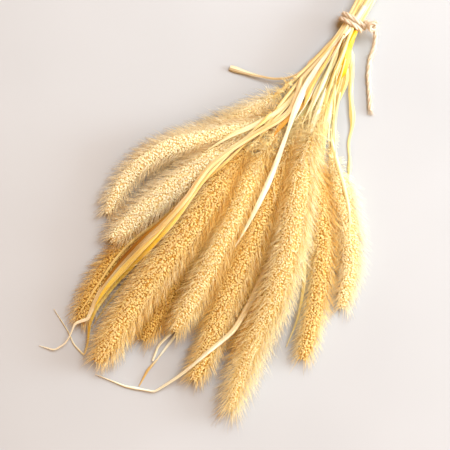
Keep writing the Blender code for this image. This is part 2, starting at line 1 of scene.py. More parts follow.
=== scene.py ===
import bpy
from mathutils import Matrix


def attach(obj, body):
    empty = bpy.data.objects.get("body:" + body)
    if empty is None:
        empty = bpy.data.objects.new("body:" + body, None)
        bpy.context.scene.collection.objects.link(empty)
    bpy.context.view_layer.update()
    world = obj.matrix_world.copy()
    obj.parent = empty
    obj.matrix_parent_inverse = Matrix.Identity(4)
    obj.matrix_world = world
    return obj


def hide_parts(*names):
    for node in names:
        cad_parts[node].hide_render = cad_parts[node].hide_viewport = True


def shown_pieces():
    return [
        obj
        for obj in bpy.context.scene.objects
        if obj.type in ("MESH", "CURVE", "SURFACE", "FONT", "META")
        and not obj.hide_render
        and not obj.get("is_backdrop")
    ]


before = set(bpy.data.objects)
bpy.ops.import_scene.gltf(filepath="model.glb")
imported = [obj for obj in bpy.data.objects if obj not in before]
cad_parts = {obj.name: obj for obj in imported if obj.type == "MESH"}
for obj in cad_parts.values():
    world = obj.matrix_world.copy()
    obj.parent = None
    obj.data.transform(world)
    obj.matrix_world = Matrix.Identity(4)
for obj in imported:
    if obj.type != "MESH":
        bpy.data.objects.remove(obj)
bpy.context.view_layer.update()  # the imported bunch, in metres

import math

import bpy
import numpy as np
from mathutils import Vector

# Dried foxtail grass: a small tied bunch, bleached to cream and gold, lying on a pale surface.
# Routes are in millimetres from the middle of the tie, as the camera sees the bunch from above:
# x to the right, y up the picture, z up from the surface. Other lengths are in millimetres too,
# where nothing else is said.

mm = 0.001
goldenAngle = math.pi * (3 - math.sqrt(5))  # from one spikelet to the next, round the head
curvePointsPerMm = 4

bunch = {
    "lean": 29.0,  # degrees from upright in the picture to the line of the stems
    "tieHeight": 7.5,  # from the surface to the middle of the tie
    "tiePlace": (-0.7, 30.5),  # where the tie is in the frame
}

leanAngle = math.radians(bunch["lean"])
alongBunch = np.array([math.sin(leanAngle), math.cos(leanAngle), 0.0])
acrossBunch = np.array([math.cos(leanAngle), -math.sin(leanAngle), 0.0])
upward = np.array([0.0, 0.0, 1.0])


def toFrame(points):
    turned = np.asarray(points, float) @ np.array([acrossBunch, alongBunch, upward]).T
    return (turned + (*bunch["tiePlace"], 0.0)) * mm


def unit(vectors):
    return vectors / np.maximum(np.linalg.norm(vectors, axis=-1, keepdims=True), 1e-9)


# reads (place, value) pairs at any place between them
def readOff(pairs, places):
    return np.interp(places, *zip(*pairs))


def reachAlong(line):
    return np.concatenate([[0], np.cumsum(np.linalg.norm(np.diff(line, axis=0), axis=1))])


def pointsAt(places, reach, line):
    return np.stack([np.interp(places, reach, line[:, k]) for k in range(3)], axis=1)


def evenLine(curve, pitch):
    reach = reachAlong(curve)
    return pointsAt(np.linspace(0, reach[-1], max(3, round(reach[-1] / pitch) + 1)), reach, curve)


# a smooth curve through the route's points, then points a pitch apart on it
def smoothLine(points, pitch):
    knots = np.asarray(points, float)
    reach = reachAlong(knots)
    slope = np.gradient(knots, reach, axis=0)
    dense = np.linspace(0, reach[-1], int(reach[-1] * curvePointsPerMm) + 2)
    first = np.clip(np.searchsorted(reach, dense, side="right") - 1, 0, len(reach) - 2)
    width = (reach[first + 1] - reach[first])[:, None]
    t = (dense[:, None] - reach[first][:, None]) / width
    curve = (
        (2 * t**3 - 3 * t**2 + 1) * knots[first]
        + (t**3 - 2 * t**2 + t) * width * slope[first]
        + (3 * t**2 - 2 * t**3) * knots[first + 1]
        + (t**3 - t**2) * width * slope[first + 1]
    )
    return evenLine(curve, pitch)


def directions(line):
    return unit(np.gradient(line, axis=0))


# ahead, left and up along a line that never stands upright
def levelFrames(line):
    ahead = directions(line)
    left = unit(np.cross(upward, ahead))
    return ahead, left, np.cross(ahead, left)


# the same for a line that does, such as a turn round the bunch: each frame is carried on from the last
def carriedFrames(line):
    ahead = directions(line)
    left = np.empty_like(line)
    last = np.cross(ahead[0], alongBunch + 0.3 * acrossBunch)  # no line starts out that way
    for i, way in enumerate(ahead):
        last = unit(last - way * (last @ way))
        left[i] = last
    return ahead, left, np.cross(ahead, left)


def roundAngles(sides):
    return np.arange(sides) * 2 * math.pi / sides


# the way out from each point of a line, at an angle of its own
def wayOut(left, up, angle):
    return left * np.cos(angle)[:, None] + up * np.sin(angle)[:, None]


# the ways out from each point at all of some angles
def waysOut(left, up, angles):
    return left[..., None, :] * np.cos(angles)[:, None] + up[..., None, :] * np.sin(angles)[:, None]


# between -1 and 1, new every few rows and blended between
def smoothNoise(count, rowsEach, rng):
    knots = rng.uniform(-1, 1, max(2, int(count / rowsEach) + 3))
    return np.interp(np.arange(count) / rowsEach, np.arange(len(knots)), knots)


# nothing reaches through the surface that the bunch lies on
def keepAbove(points, height):
    points[..., 2] = np.maximum(points[..., 2], height)


# Meshes are gathered as plain arrays, with marks that the materials read at each point.

def newBag(*marks):
    return {"points": [], "faces": [], "finish": [], "marks": {m: [] for m in marks}, "count": 0}


def addTo(bag, points, faces, finish=0, **marks):
    points = points.reshape(-1, 3)
    bag["points"].append(points)
    for group in faces:
        bag["faces"] += (np.asarray(group) + bag["count"]).tolist()
        bag["finish"] += [finish] * len(group)
    for name, values in bag["marks"].items():
        values.append(np.broadcast_to(np.asarray(marks.get(name, 0.0), float).ravel(), len(points)))
    bag["count"] += len(points)


# the faces of one small shape, repeated for each of many
def repeated(faces, count, size):
    return [(np.asarray(faces)[None] + np.arange(count)[:, None, None] * size).reshape(-1, 3)]


# quads between rings of the same size, and one face to close each end
def ringFaces(rows, sides):
    i, j = np.meshgrid(np.arange(rows - 1), np.arange(sides), indexing="ij")
    here = i * sides + j
    beside = i * sides + (j + 1) % sides
    walls = np.stack([here, beside, beside + sides, here + sides], axis=-1).reshape(-1, 4)
    last = (rows - 1) * sides
    return [walls, [list(range(sides))[::-1]], [list(range(last, last + sides))]]


def rings(line, radii, sides, left, up):
    ways = waysOut(left, up, roundAngles(sides))
    return line[:, None] + ways * np.asarray(radii).reshape(len(line), -1, 1)


def putInScene(name, data):
    thing = bpy.data.objects.new(name, data)
    bpy.context.scene.collection.objects.link(thing)
    return thing


def makePiece(name, bag, finishes, node, sharp=None):
    mesh = bpy.data.meshes.new(name)
    mesh.from_pydata(toFrame(np.concatenate(bag["points"])).tolist(), [], bag["faces"])
    mesh.polygons.foreach_set("use_smooth", np.ones(len(mesh.polygons), bool))
    mesh.polygons.foreach_set("material_index", np.array(bag["finish"], np.int32))
    for mark, values in bag["marks"].items():
        data = mesh.attributes.new(mark, "FLOAT", "POINT").data
        data.foreach_set("value", np.concatenate(values).astype(np.float32))
    if sharp:
        mesh.set_sharp_from_angle(angle=math.radians(sharp))
    for finish in finishes:
        mesh.materials.append(finish)
    mesh.update()
    piece = putInScene(name, mesh)
    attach(piece, "root")
    if node:
        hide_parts(node)
    return piece


# Camera: straight above, turned so that the bunch leans across the picture.
view = {
    "middle": (-64.5, -102.0, 10.0),  # mm, what the middle of the picture looks at
    "height": 0.80,  # metres above that
    "wide": 0.225,  # metres of the bunch across the picture
    "sensor": 36.0,
    "nearest": 0.01,  # metres
}


def placeCamera():
    data = bpy.data.cameras.new("overhead")
    data.sensor_width = view["sensor"]
    data.lens = view["sensor"] * view["height"] / view["wide"]
    data.clip_start = view["nearest"]
    camera = putInScene("overhead", data)
    camera.location = toFrame([view["middle"]])[0] + upward * view["height"]
    camera.rotation_euler = (0, 0, leanAngle)
    bpy.context.scene.camera = camera


placeCamera()
print("camera placed")


# Materials

def toLinear(hexColour):
    channels = [int(hexColour[k:k + 2], 16) / 255 for k in (1, 3, 5)]
    return [c / 12.92 if c <= 0.04045 else ((c + 0.055) / 1.055) ** 2.4 for c in channels] + [1.0]


# settings name either a socket of the node or one of its own properties; stops fill a colour ramp
def addNode(tree, kind, settings=None, links=None):
    node = tree.nodes.new(kind)
    for key, value in (settings or {}).items():
        if key == "stops":
            ramp = node.color_ramp
            while len(ramp.elements) < len(value):
                ramp.elements.new(0.5)
            for element, (place, colour) in zip(ramp.elements, value):
                element.position = place
                element.color = toLinear(colour)
        elif isinstance(key, int) or key in node.inputs:
            node.inputs[key].default_value = value
        else:
            setattr(node, key, value)
    for key, source in (links or {}).items():
        tree.links.new(source, node.inputs[key])
    return node


# a finish that glows lets some of the light in, and red further than blue
def newFinish(name, values):
    shine = {"Roughness": values["roughness"], "IOR": values["ior"]}
    if "glow" in values:
        shine["Subsurface Weight"] = values["glow"]
        shine["Subsurface Radius"] = values["glowReach"]
        shine["Subsurface Scale"] = values["glowDepth"] * mm
    finish = bpy.data.materials.new(name)
    finish.use_nodes = True
    tree = finish.node_tree
    tree.nodes.clear()
    shader = addNode(tree, "ShaderNodeBsdfPrincipled", shine)
    addNode(tree, "ShaderNodeOutputMaterial", {}, {"Surface": shader.outputs[0]})
    return finish, tree, shader


# Husk: the papery shell of each spikelet, dried and bleached. Smooth enough to catch a soft
# light on its crown, and thin enough to glow a little, over a bed that is drawn brown and dull,
# partly as painted shade. Its foot is drawn darker: painted shade where it sits among the others.
huskFinish = {
    "roughness": 0.55,
    "ior": 1.45,
    "glow": 0.15,  # share of the light that enters the shell
    "glowReach": (1.0, 0.8, 0.5),
    "glowDepth": 0.6,
    "blotch": 1.1,  # patches of bleaching
    "blotchShare": 0.45,  # how much they decide of the colour; the rest is the spikelet's own tone and the painted shade of its neighbours
    "shades": (0.22, 0.5, 0.8),
    "footEnds": 0.5,  # share of its height at which the darker foot, a painted shade, has faded out
    "grain": 0.28,  # drawn about twice as coarse as the real wrinkles, which are too fine to show
    "relief": (0.4, 0.06),  # strength of the wrinkles, and their depth
}

# Bed: the matted stalks and hairs under the spikelets, drawn dull brown: partly their own dried colour,
# partly painted shade in the crevices between the spikelets. Dull, and rough as felt.
bedFinish = {"roughness": 0.8, "ior": 1.5, "patches": 0.56, "detail": 3.0, "shades": (0.38, 0.52)}

# Bristle: a stiff hollow hair, dried, with a faint shine. Cream at its tip, drawn golden towards its root as
# a painted shade where it lies deep in the head.
bristleFinish = {"roughness": 0.5, "ior": 1.45, "rootShadeShare": 0.4, "shades": (0.15, 0.57, 0.95)}

# seed heads bleach unevenly, and those on top of the bunch are drawn palest; the amber of heads 4 and 11,
# which lie low and partly hidden among the others, is partly painted shade
headTints = {
    "bleached": {
        "bed": ("#B49048", "#EACF8C"), "husk": ("#F2DD9B", "#F9ECBC", "#FFF7D7"), "huskFootShade": "#ECD193",
        "bristle": ("#FAD189", "#FEEBBC", "#FFFAE2")},
    "creamy": {
        "bed": ("#A8803A", "#E6C678"), "husk": ("#E7CB81", "#F1DEA2", "#F8EBC2"), "huskFootShade": "#E5C473",
        "bristle": ("#F3BD69", "#F9E1A6", "#FEF7D4")},
    "honey": {
        "bed": ("#A67830", "#E0BA62"), "husk": ("#DAB669", "#E7CD89", "#F1DFAC"), "huskFootShade": "#DDB561",
        "bristle": ("#F3B545", "#F8D889", "#FFF8D6")},
    "golden": {
        "bed": ("#825812", "#CC983A"), "husk": ("#DAAC50", "#E3C06F", "#ECD693"), "huskFootShade": "#C7933C",
        "bristle": ("#F3AC35", "#F6CD73", "#FFF7CE")},
    "amber": {
        "bed": ("#724C0E", "#B47E28"), "husk": ("#C08E2F", "#D6AA4B", "#EAC873"), "huskFootShade": "#AF7E2C",
        "bristle": ("#C28630", "#E6B861", "#FCE5A2")},
    # the loose spikelets and bristles at the neck have no bed; they are drawn paler and brighter than the
    # heads, a painted light where the stems shade the neck
    "neck": {
        "husk": ("#FFDA8E", "#FFEAAA", "#FFF7C8"), "huskFootShade": "#F3D489",
        "bristle": ("#FFCB73", "#FFE299", "#FFF6C2")},
}


# a dull surface with patches of two shades, for the bed of the husks and for the board below
def makePatchyFinish(name, values, colours):
    finish, tree, shader = newFinish(name, values)
    place = addNode(tree, "ShaderNodeTexCoord")
    patches = addNode(
        tree, "ShaderNodeTexNoise", {"Scale": 1 / (values["patches"] * mm), "Detail": values["detail"]},
        {"Vector": place.outputs["Object"]})
    shade = addNode(
        tree, "ShaderNodeValToRGB", {"stops": [*zip(values["shades"], colours)]},
        {"Fac": patches.outputs["Fac"]})
    tree.links.new(shade.outputs["Color"], shader.inputs["Base Color"])
    return finish


def makeHuskFinish(tint, colours):
    finish, tree, shader = newFinish("driedHusk_" + tint, huskFinish)
    place = addNode(tree, "ShaderNodeTexCoord")
    tone = addNode(tree, "ShaderNodeAttribute", {"attribute_name": "tone"})
    reach = addNode(tree, "ShaderNodeAttribute", {"attribute_name": "reach"})
    blotch, grain = [
        addNode(
            tree, "ShaderNodeTexNoise", {"Scale": 1 / (huskFinish[size] * mm), "Detail": 2.0},
            {"Vector": place.outputs["Object"]}) for size in ("blotch", "grain")]
    # each spikelet's own tone with the painted shade near a neighbour, mixed with patches of bleaching
    mixed = addNode(
        tree, "ShaderNodeMix", {"data_type": "FLOAT", 0: huskFinish["blotchShare"]},
        {2: tone.outputs["Fac"], 3: blotch.outputs["Fac"]})
    shade = addNode(
        tree, "ShaderNodeValToRGB", {"stops": [*zip(huskFinish["shades"], colours["husk"])]},
        {"Fac": mixed.outputs[0]})
    # the foot of each spikelet is drawn darker: painted shade where it sits down among the others
    footShade = addNode(
        tree, "ShaderNodeMapRange", {"From Max": huskFinish["footEnds"], "To Min": 1.0, "To Max": 0.0},
        {"Value": reach.outputs["Fac"]})
    whole = addNode(
        tree, "ShaderNodeMix", {"data_type": "RGBA", 7: toLinear(colours["huskFootShade"])},
        {0: footShade.outputs["Result"], 6: shade.outputs["Color"]})
    strength, depth = huskFinish["relief"]
    bump = addNode(
        tree, "ShaderNodeBump", {"Strength": strength, "Distance": depth * mm},
        {"Height": grain.outputs["Fac"]})
    tree.links.new(whole.outputs[2], shader.inputs["Base Color"])
    tree.links.new(bump.outputs["Normal"], shader.inputs["Normal"])
    return finish


def makeBristleFinish(tint, colours):
    finish, tree, shader = newFinish("driedBristle_" + tint, bristleFinish)
    reach = addNode(tree, "ShaderNodeAttribute", {"attribute_name": "reach"})
    tone = addNode(tree, "ShaderNodeAttribute", {"attribute_name": "tone"})
    # drawn golden towards the root and where a neighbour is near, cream at the tip: painted shade deep in
    # and between the heads
    mixed = addNode(
        tree, "ShaderNodeMix", {"data_type": "FLOAT", 0: bristleFinish["rootShadeShare"]},
        {2: tone.outputs["Fac"], 3: reach.outputs["Fac"]})
    shade = addNode(
        tree, "ShaderNodeValToRGB", {"stops": [*zip(bristleFinish["shades"], colours["bristle"])]},
        {"Fac": mixed.outputs[0]})
    tree.links.new(shade.outputs["Color"], shader.inputs["Base Color"])
    return finish


# Leaf: a dried blade, bleached by the sun. Its veins run the whole length as fine raised lines,
# a little glossy between them, and it is thin enough to pass some light.
leafFinish = {
    "roughness": 0.46,
    "ior": 1.45,
    "glow": 0.3,  # share of the light that enters the blade
    "glowReach": (1.0, 0.7, 0.4),
    "glowDepth": 0.8,
    "mark": "aged",
    # width of the veins, drawn about twice as coarse as real so that they show, then how far
    # they are drawn out, detail and roughness; the same of the broader streaks
    "lines": ((0.5, 0.018, 3.0, 0.6), (1.4, 0.04, 2.0, 0.5)),
    "shades": (0.36, 0.48, 0.62),
    "relief": (0.6, 0.1),
}

# three colours from the veins to the ridges, then the colour of the parts that aged more, which on one tip
# is painted shade
leafTints = {
    "cream": ("#DAC484", "#ECDDA4", "#F6EDC2", "#D8B064"),
    "golden": ("#CA9844", "#DEB864", "#ECCE88", "#A9640F"),
    "ochre": ("#D29A20", "#E2B432", "#EEC850", "#ECDDB4"),
    "tan": ("#BE9450", "#CEA868", "#DCBE88", "#F0E2C0"),
    # dark brown strips that stand in for shade: painted shade in the gaps between stems and blades
    "shadowBrown": ("#8A5A14", "#96641A", "#A87424", "#7E4C08"),
    "pale": ("#ECDAAA", "#F6ECC8", "#FCF5DC", "#D4A762"),
    "yellow": ("#DDA800", "#EABE08", "#F2CC20", "#DCA40A"),
    # a blade drawn deep orange as painted shade
    "shadowOrange": ("#D69230", "#E6AC48", "#EFBF64", "#C88220"),
    "straw": ("#D8BA6A", "#EAD68A", "#F4E8AC", "#D0A04C"),
    "amber": ("#D0AC7A", "#E0C89C", "#ECDCBC", "#C8A47A"),
}

# Straw: the dried hollow stalk of the grass, waxy and faintly ribbed, with brown joints and a painted shade
# inside its cut hollow.
strawFinish = {
    "roughness": 0.38,
    "ior": 1.5,
    "glow": 0.15,
    "glowReach": (1.0, 0.6, 0.3),
    "glowDepth": 0.8,
    "mark": "joint",
    "lines": ((0.3, 0.012, 3.0, 0.5), (2.0, 0.06, 2.0, 0.5)),  # ribs at their real size, and faded streaks
    "shades": (0.36, 0.5, 0.64),
    "colours": ("#D6AE5A", "#ECD48C", "#F8E9BA", "#A96A2C"),
    "relief": (0.5, 0.07),
}

# Jute: three yarns spun from coarse bast fibre and laid up into a cord. Dull and hairy, with a
# painted shade in the grooves between the yarns.
juteFinish = {
    "roughness": 0.85,
    "ior": 1.45,
    "mark": "groove",
    "lines": ((0.22, 0.35, 4.0, 0.65),),  # bundles of fibres, as single ones are too fine to show
    "shades": (0.32, 0.5, 0.68),
    # the last colour is the painted shade of the grooves
    "colours": ("#C4AC8E", "#DCCAB0", "#EFE2CC", "#BE9E7A"),
    "relief": (0.6, 0.15),
}


# leaf, straw and jute are all drawn out lengthwise: fine lines in relief, broader streaks on some,
# and a last colour where the mesh is marked: aged on a leaf, a dark joint or the painted shade
# inside the hollow on a straw, and the painted shade of the grooves on the jute
def makeFibreFinish(name, values, colours):
    finish, tree, shader = newFinish(name, values)
    across, along, mark = [
        addNode(tree, "ShaderNodeAttribute", {"attribute_name": read}).outputs["Fac"]
        for read in ("acrossMm", "alongMm", values["mark"])]
    flow = addNode(tree, "ShaderNodeCombineXYZ", {}, {0: across, 1: along})
    patterns = []
    for width, drawnOut, detail, roughness in values["lines"]:
        drawn = addNode(
            tree, "ShaderNodeVectorMath", {"operation": "MULTIPLY", 1: (1 / width, drawnOut, 1.0)},
            {0: flow.outputs["Vector"]})
        patterns.append(addNode(
            tree, "ShaderNodeTexNoise", {"Scale": 1.0, "Detail": detail, "Roughness": roughness},
            {"Vector": drawn.outputs["Vector"]}).outputs["Fac"])
    mixed = patterns[0]
    if len(patterns) > 1:
        mixed = addNode(
            tree, "ShaderNodeMix", {"data_type": "FLOAT", 0: 0.5},
            {2: patterns[0], 3: patterns[1]}).outputs[0]
    shade = addNode(
        tree, "ShaderNodeValToRGB", {"stops": [*zip(values["shades"], colours)]}, {"Fac": mixed})
    whole = addNode(
        tree, "ShaderNodeMix", {"data_type": "RGBA", 7: toLinear(colours[-1])},
        {0: mark, 6: shade.outputs["Color"]})
    strength, depth = values["relief"]
    bump = addNode(
        tree, "ShaderNodeBump", {"Strength": strength, "Distance": depth * mm}, {"Height": patterns[0]})
    tree.links.new(whole.outputs[2], shader.inputs["Base Color"])
    tree.links.new(bump.outputs["Normal"], shader.inputs["Normal"])
    return finish


beds = {
    tint: makePatchyFinish("driedHuskBedAndShade_" + tint, bedFinish, colours["bed"])
    for tint, colours in headTints.items() if "bed" in colours}
husks = {tint: makeHuskFinish(tint, colours) for tint, colours in headTints.items()}
bristles = {tint: makeBristleFinish(tint, colours) for tint, colours in headTints.items()}
leafFinishes = {
    tint: makeFibreFinish("driedGrassBlade_" + tint, leafFinish, colours)
    for tint, colours in leafTints.items()}
straw = makeFibreFinish("driedStraw", strawFinish, strawFinish["colours"])
jute = makeFibreFinish("spunJute", juteFinish, juteFinish["colours"])
print("materials made")


# Twine: three yarns twisted into a cord, twice round the stems, a knot and one loose tail.
twine = {
    "seed": 40,
    "diameter": 2.4,
    "knotDiameter": 2.3,
    "yarns": 3,
    "layLength": 12.0,  # along the cord for one turn of a yarn
    "yarnSides": 9,
    "fullness": 1.15,  # soft yarns press into each other, so that they are thicker than round ones
    "uneven": 0.05,  # how much a yarn swells and thins, as a share of its radius
    "swellRows": 6,
    "frayedRun": 5.0,  # over which the yarns of a frayed end spread
    "slant": 0.45,  # how far the fibres turn round a yarn, for each mm along it
    "groove": (0.72, 2.2, 0.6),  # painted shade in the grooves: share of the radius where it begins, its slope and its limit
    "pitch": 0.5,
    "sharp": 60,  # degrees at which two faces meet in an edge
    "clear": 0.05,  # between the yarns and the surface
    "fibresPerMm": 7.0,
    "fibreLength": (1.2, 4.2),
    "fibreRadius": 0.045,
    "fibreRoot": 0.82,  # where a fibre leaves the cord, as a share of the cord's radius
    "fibreLift": (0.05, 0.75),
    "fibreTurn": 0.8,
    "fibreClear": 0.12,
    "endFibres": 46,
    "endSpread": 0.42,
    "endLean": 0.34,
    "endLength": (2.0, 5.0),
    "endRadius": 0.06,
    "wrapTurns": 2,
    "wrapPoints": 42,  # for each turn
    "wrapStart": 28.0,  # degrees
    "wrapRadius": 6.257,
    "wrapPitch": 2.7,
    "knotPlace": (9.3, 1.6, 4.6),  # across and along the bunch from the middle of the tie, and above it
    "knotAhead": (0.35, -0.2, 0.9),  # the way its coil goes, in the same order
    "knotTurns": 1.45,
    "knotPoints": 64,
    "knotStart": -60.0,
    "knotRadius": 1.62,
    "knotEnd": (1.1, 2.6, 1.3),  # the turn after which its end swings out, how far and how sharply
    "tailPoints": 1.6,  # from one point of its path to the next
    "tailRoute": [
        (9.6, -0.8, 8.6), (11, -5.5, 5.6), (10.8, -12, 2.6), (8.8, -18.5, 1.4), (8, -26, 1.3),
        (8.5, -35, 1.3), (9, -44, 1.3)],
}


def wrapRoute():
    turn = np.linspace(0, twine["wrapTurns"], twine["wrapTurns"] * twine["wrapPoints"] + 1)[:, None]
    angle = math.radians(twine["wrapStart"]) + turn * 2 * math.pi
    return (
        acrossBunch * twine["wrapRadius"] * np.cos(angle)
        + alongBunch * twine["wrapPitch"] * (turn - twine["wrapTurns"] / 2)
        + upward * (bunch["tieHeight"] + twine["wrapRadius"] * np.sin(angle))
    )


def knotRoute():
    across, along, above = twine["knotPlace"]
    centre = acrossBunch * across + alongBunch * along + upward * (bunch["tieHeight"] + above)
    across, along, above = twine["knotAhead"]
    ahead = unit(acrossBunch * across + alongBunch * along + upward * above)
    left = unit(np.cross(ahead, alongBunch))
    up = np.cross(left, ahead)
    turn = np.linspace(0, twine["knotTurns"], twine["knotPoints"])[:, None]
    angle = math.radians(twine["knotStart"]) + turn * 2 * math.pi
    after, swing, power = twine["knotEnd"]
    radius = twine["knotRadius"] + swing * np.maximum(0.0, turn - after) ** power
    return (
        centre + left * radius * np.cos(angle) + up * radius * np.sin(angle)
        + ahead * twine["diameter"] * (turn - twine["knotTurns"] / 2)
    )


# thin curved hairs, each a three-sided spike of a few lengths
def addHairs(bag, paths, rootRadius, tipRadius, finish=0, **marks):
    sides = 3
    count, steps = paths.shape[:2]
    ahead = unit(np.gradient(paths, axis=1))
    left = unit(np.cross(ahead, (0.31, 0.52, 0.79)))  # a way that no hair points along
    up = np.cross(ahead, left)
    thick = np.linspace(rootRadius, tipRadius, steps)[None, :, None, None]
    body = paths[:, :, None] + waysOut(left, up, roundAngles(sides)) * thick
    points = np.concatenate([body[:, :-1].reshape(count, -1, 3), paths[:, -1:]], axis=1)
    faces = [[0, 2, 1]]
    for i in range(steps - 2):
        for j in range(sides):
            a, b = i * sides + j, i * sides + (j + 1) % sides
            faces += [[a, b, b + sides], [a, b + sides, a + sides]]
    tip = (steps - 1) * sides
    faces += [[tip - sides + j, tip - sides + (j + 1) % sides, tip] for j in range(sides)]
    share = np.append(np.repeat(np.linspace(0, 1, steps)[:-1], sides), 1.0)
    given = {name: np.repeat(np.asarray(values, float), tip + 1) for name, values in marks.items()}
    addTo(bag, points, repeated(faces, count, tip + 1), finish, reach=np.tile(share, count), **given)


def strayFibres(bag, line, radius, rng):
    ahead, left, up = carriedFrames(line)
    count = int(reachAlong(line)[-1] * twine["fibresPerMm"])
    row = rng.integers(0, len(line), count)
    out = wayOut(left[row], up[row], rng.uniform(0, 2 * math.pi, count))
    way = ahead[row] * rng.choice([-1, 1], count)[:, None]
    length = rng.uniform(*twine["fibreLength"], count)[:, None]
    lift = rng.uniform(*twine["fibreLift"], count)[:, None]
    turn = np.cross(way, out) * rng.uniform(-twine["fibreTurn"], twine["fibreTurn"], count)[:, None]
    start = line[row] + out * radius * twine["fibreRoot"]
    path = np.stack([
        start + (way * s + out * lift * s**1.4 + turn * s**2) * length for s in (0, 0.33, 0.66, 1)],
        axis=1)
    keepAbove(path, twine["fibreClear"])
    addHairs(bag, path, twine["fibreRadius"], twine["fibreRadius"] / 2, groove=np.zeros(count))


# the cord's yarns, each a tube that winds round the cord's own line and swells and thins a little
def addCord(bag, line, diameter, rng, frayed=(0.0, 0.0)):
    sides = twine["yarnSides"]
    reach = reachAlong(line)
    _, left, up = carriedFrames(line)
    yarn = diameter / 2 / (1 + 2 / math.sqrt(3)) * twine["fullness"]
    offset = diameter / 2 - yarn
    splay = 1 + sum(
        np.clip(1 - away / twine["frayedRun"], 0, 1) ** 2 * share
        for away, share in zip((reach, reach[-1] - reach), frayed))
    darkFrom, slope, darkest = twine["groove"]
    for k in range(twine["yarns"]):
        angle = reach / twine["layLength"] * 2 * math.pi + k * 2 * math.pi / twine["yarns"]
        centre = line + wayOut(left, up, angle) * (offset * splay)[:, None]
        keepAbove(centre, yarn + twine["clear"])
        _, ownLeft, ownUp = carriedFrames(centre)
        thick = yarn * (1.0 + twine["uneven"] * smoothNoise(len(line), twine["swellRows"], rng))
        thick = thick[:, None] * (1 + twine["uneven"] * rng.uniform(-1, 1, (len(line), sides)))
        around = rings(centre, thick, sides, ownLeft, ownUp)
        # how deep in a groove each point lies, for its painted shade
        inward = np.linalg.norm(around - line[:, None], axis=2) / (diameter / 2)
        turn = np.arange(sides) / sides
        # fibres lie at a slant on the yarn, so the pattern turns as it goes along
        acrossYarn = np.abs(turn * 2 - 1)[None] * math.pi * yarn + reach[:, None] * twine["slant"]
        addTo(
            bag, around, ringFaces(len(line), sides),
            acrossMm=acrossYarn + k * 7.0,  # no two yarns show the same stretch of the pattern
            alongMm=np.repeat(reach, sides), groove=np.clip((darkFrom - inward) * slope, 0, darkest))


# the tail's frayed tip
def addEndFibres(bag, tail, rng):
    count = twine["endFibres"]
    root = np.repeat(tail[-1:], count, axis=0) + rng.normal(0, twine["endSpread"], (count, 3))
    way = unit(directions(tail)[-1] + rng.normal(0, twine["endLean"], (count, 3)))
    path = np.stack(
        [root + way * s * rng.uniform(*twine["endLength"], (count, 1)) for s in (-0.4, 0.0, 0.5, 1.0)],
        axis=1)
    keepAbove(path, twine["fibreClear"])
    addHairs(bag, path, twine["endRadius"], twine["endRadius"] / 2, groove=np.zeros(count))


def newCordBag():
    return newBag("acrossMm", "alongMm", "groove")


def buildTwine():
    rng = np.random.default_rng(twine["seed"])
    tail = smoothLine(twine["tailRoute"], twine["pitch"])
    bag = newCordBag()
    addCord(bag, tail, twine["diameter"], rng)
    tailPiece = makePiece("juteTail", bag, [jute], "twine_tail", twine["sharp"])
    fuzz = newCordBag()
    strayFibres(fuzz, tail, twine["diameter"] / 2, rng)
    addEndFibres(fuzz, tail, rng)
    fuzzPiece = makePiece("juteTailFibres", fuzz, [jute], None)
    for name, node, route, width, frayed in (
            ("juteWrap", "twine_wrap", wrapRoute(), twine["diameter"], (0.0, 0.0)),
            ("juteKnot", "twine_knot", knotRoute(), twine["knotDiameter"], (0.0, 0.5))):
        line = evenLine(route, twine["pitch"])
        bag = newCordBag()
        addCord(bag, line, width, rng, frayed)
        strayFibres(bag, line, width / 2, rng)
        makePiece(name, bag, [jute], node, twine["sharp"])


buildTwine()
print("twine laid up")


